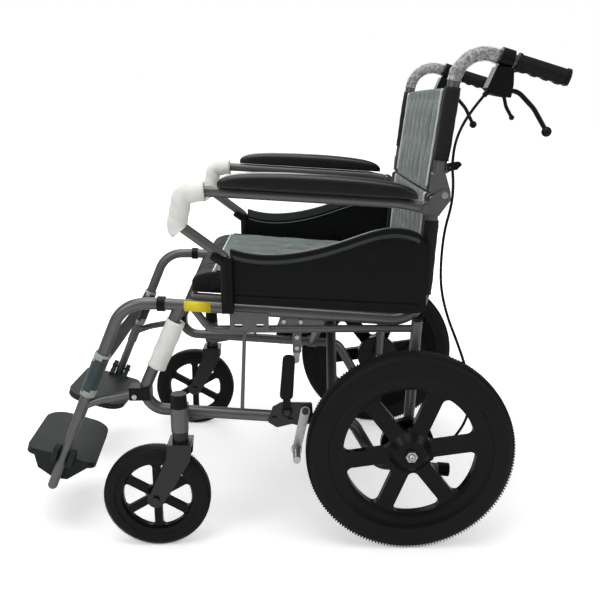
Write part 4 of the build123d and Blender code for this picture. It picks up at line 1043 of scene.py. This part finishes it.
KNURLS = knurl_tree()
for side in SIDES:
    for wheel, count in (("rear", 200), ("caster", 130)):
        low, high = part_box(f"{side}_{wheel}_tyre")
        centre = (Vector(low) + Vector(high)) / 2
        radius, half = (high[2] - low[2]) / 2, (high[0] - low[0]) / 2
        for edge, offset in (("inner", -1), ("outer", 1)):
            reach = radius - 0.0026
            ring = [centre + Vector((offset * half * 0.72, math.cos(turn) * reach, math.sin(turn) * reach))
                    for turn in (2 * math.pi * step / 180 for step in range(181))]
            tread = run_tree(KNURLS, f"{side}_{wheel}_{edge}_tread", ring, {
                "Count": count, "Size": (0.003, 0.003, 0.0022), "Material": tyre_rubber})
            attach(tread, f"{side}_{wheel}_wheel")
print("treads on", 2 * len(SIDES), "wheels")

# %% [markdown]
# ### Packing film
# Clear polyethylene film is still wound round both handle bends. It is thin and badly
# wrinkled, so it is nearly invisible except where a fold catches the light.

# %% Clear film on the handle bends
film_sheet, film_tree, film_shader = start_material("clear_wrinkled_film", Roughness=0.12)
film_place = object_coordinates(film_tree)
film_folds = add_node(film_tree, "ShaderNodeTexNoise", {"Scale": 75, "Detail": 5, "Distortion": 1.5},
                      {"Vector": film_place})
film_share = add_node(film_tree, "ShaderNodeMapRange",
                      {"From Min": 0.42, "From Max": 0.72, "To Min": 0.18, "To Max": 0.7},
                      {"Value": film_folds.outputs[0]})
film_bump = add_node(film_tree, "ShaderNodeBump", {"Strength": 0.9, "Distance": 0.003},
                     {"Height": film_folds.outputs[0]})
film_shader.inputs["Base Color"].default_value = colour("#e6e8e6")
film_tree.links.new(film_share.outputs[0], film_shader.inputs["Alpha"])
film_tree.links.new(film_bump.outputs[0], film_shader.inputs["Normal"])
HANDLE_BEND = 50.0


def rounded_corner(before, corner, after, radius, steps=28):
    """Points along two straight runs joined by an arc."""
    back, ahead = (before - corner).normalized(), (after - corner).normalized()
    half = back.angle(ahead) / 2
    centre = corner + (back + ahead).normalized() * radius / math.sin(half)
    start, end = corner + back * radius / math.tan(half), corner + ahead * radius / math.tan(half)
    first, last = (start - centre).normalized(), (end - centre).normalized()
    arc = [centre + first.slerp(last, step / steps) * radius for step in range(steps + 1)]
    return [before, before.lerp(start, 0.5), *arc, end.lerp(after, 0.5), after]


for side, sign in SIDES.items():
    bend = rounded_corner(at(sign * 240, 312.5, 850), at(sign * 240, 319.4, 907), at(sign * 240, 384, 887.9),
                          HANDLE_BEND / 1000)
    film = skin_line(f"{side}_film_wrap", bend,
                     lambda share: 0.0124 + 0.0009 * math.sin(37 * share) * math.sin(11 * share), 20)
    film.data.materials.append(film_sheet)
    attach(film, f"{side}_upper_back")

# %% [markdown]
# ## Studio
# The photograph has a pure white ground. The floor and the far surroundings look white to
# the camera and to shiny surfaces, while the light that reaches the chair stays soft and
# moderate, so that its blacks stay black and its colours render as they are written.

# %% Floor, surroundings and lamps


def pale_surroundings():
    """White to the camera, a softer grey as a light."""
    world = bpy.data.worlds.new("studio")
    scene.world = world
    world.use_nodes = True
    tree = world.node_tree
    tree.nodes.clear()
    rays = add_node(tree, "ShaderNodeLightPath")
    seen = add_node(tree, "ShaderNodeMath", {"operation": "MAXIMUM"})
    tree.links.new(rays.outputs["Is Camera Ray"], seen.inputs[0])
    tree.links.new(rays.outputs["Is Transmission Ray"], seen.inputs[1])
    strength = add_node(tree, "ShaderNodeMapRange", {"To Min": 0.24, "To Max": 1.0}, {"Value": seen.outputs[0]})
    glow = add_node(tree, "ShaderNodeBackground", {"Color": (1, 1, 1, 1)}, {"Strength": strength.outputs[0]})
    output = add_node(tree, "ShaderNodeOutputWorld")
    tree.links.new(glow.outputs[0], output.inputs["Surface"])


pale_surroundings()
FLOOR_HALF = 30
floor = add_piece("floor", [(-FLOOR_HALF, -FLOOR_HALF, 0), (FLOOR_HALF, -FLOOR_HALF, 0),
                            (FLOOR_HALF, FLOOR_HALF, 0), (-FLOOR_HALF, FLOOR_HALF, 0)], [(0, 1, 2, 3)], smooth=False)
floor_paint, floor_tree, floor_shader = start_material("white_floor", Roughness=0.9)
floor_shader.inputs["Base Color"].default_value = colour("#f4f4f4")
floor_rays = add_node(floor_tree, "ShaderNodeLightPath")
floor_place = add_node(floor_tree, "ShaderNodeTexCoord")
floor_reach = add_node(floor_tree, "ShaderNodeVectorMath", {"operation": "LENGTH"},
                       {0: floor_place.outputs["Object"]})
floor_glow = add_node(floor_tree, "ShaderNodeMapRange",
                      {"From Min": 0.5, "From Max": 2.2, "To Min": 0.42, "To Max": 1.0},
                      {"Value": floor_reach.outputs["Value"]})
floor_seen = add_node(floor_tree, "ShaderNodeMath", {"operation": "MULTIPLY"},
                      {0: floor_rays.outputs["Is Camera Ray"], 1: floor_glow.outputs[0]})
floor_shader.inputs["Emission Color"].default_value = (1, 1, 1, 1)
floor_tree.links.new(floor_seen.outputs[0], floor_shader.inputs["Emission Strength"])
floor.data.materials.append(floor_paint)

LAMPS = {
    "overhead": ((0.3, -0.3, 3.2), (0, 0, 0.4), 2.6, 62),
    "front_left": ((2.4, -2.2, 2.2), (0, 0, 0.5), 1.6, 30),
    "rear_left": ((1.6, 2.6, 1.8), (0, 0, 0.5), 1.4, 18),
    "far_side": ((-2.6, -0.6, 1.9), (0, 0, 0.4), 1.6, 22),
}
for name, (place, target, size, power) in LAMPS.items():
    lamp = bpy.data.lights.new(name, "AREA")
    lamp.energy = power
    lamp.size = size
    holder = bpy.data.objects.new(name, lamp)
    scene.collection.objects.link(holder)
    holder.location = place
    holder.rotation_euler = (Vector(place) - Vector(target)).to_track_quat("Z", "Y").to_euler()
scene.view_settings.view_transform = "Standard"
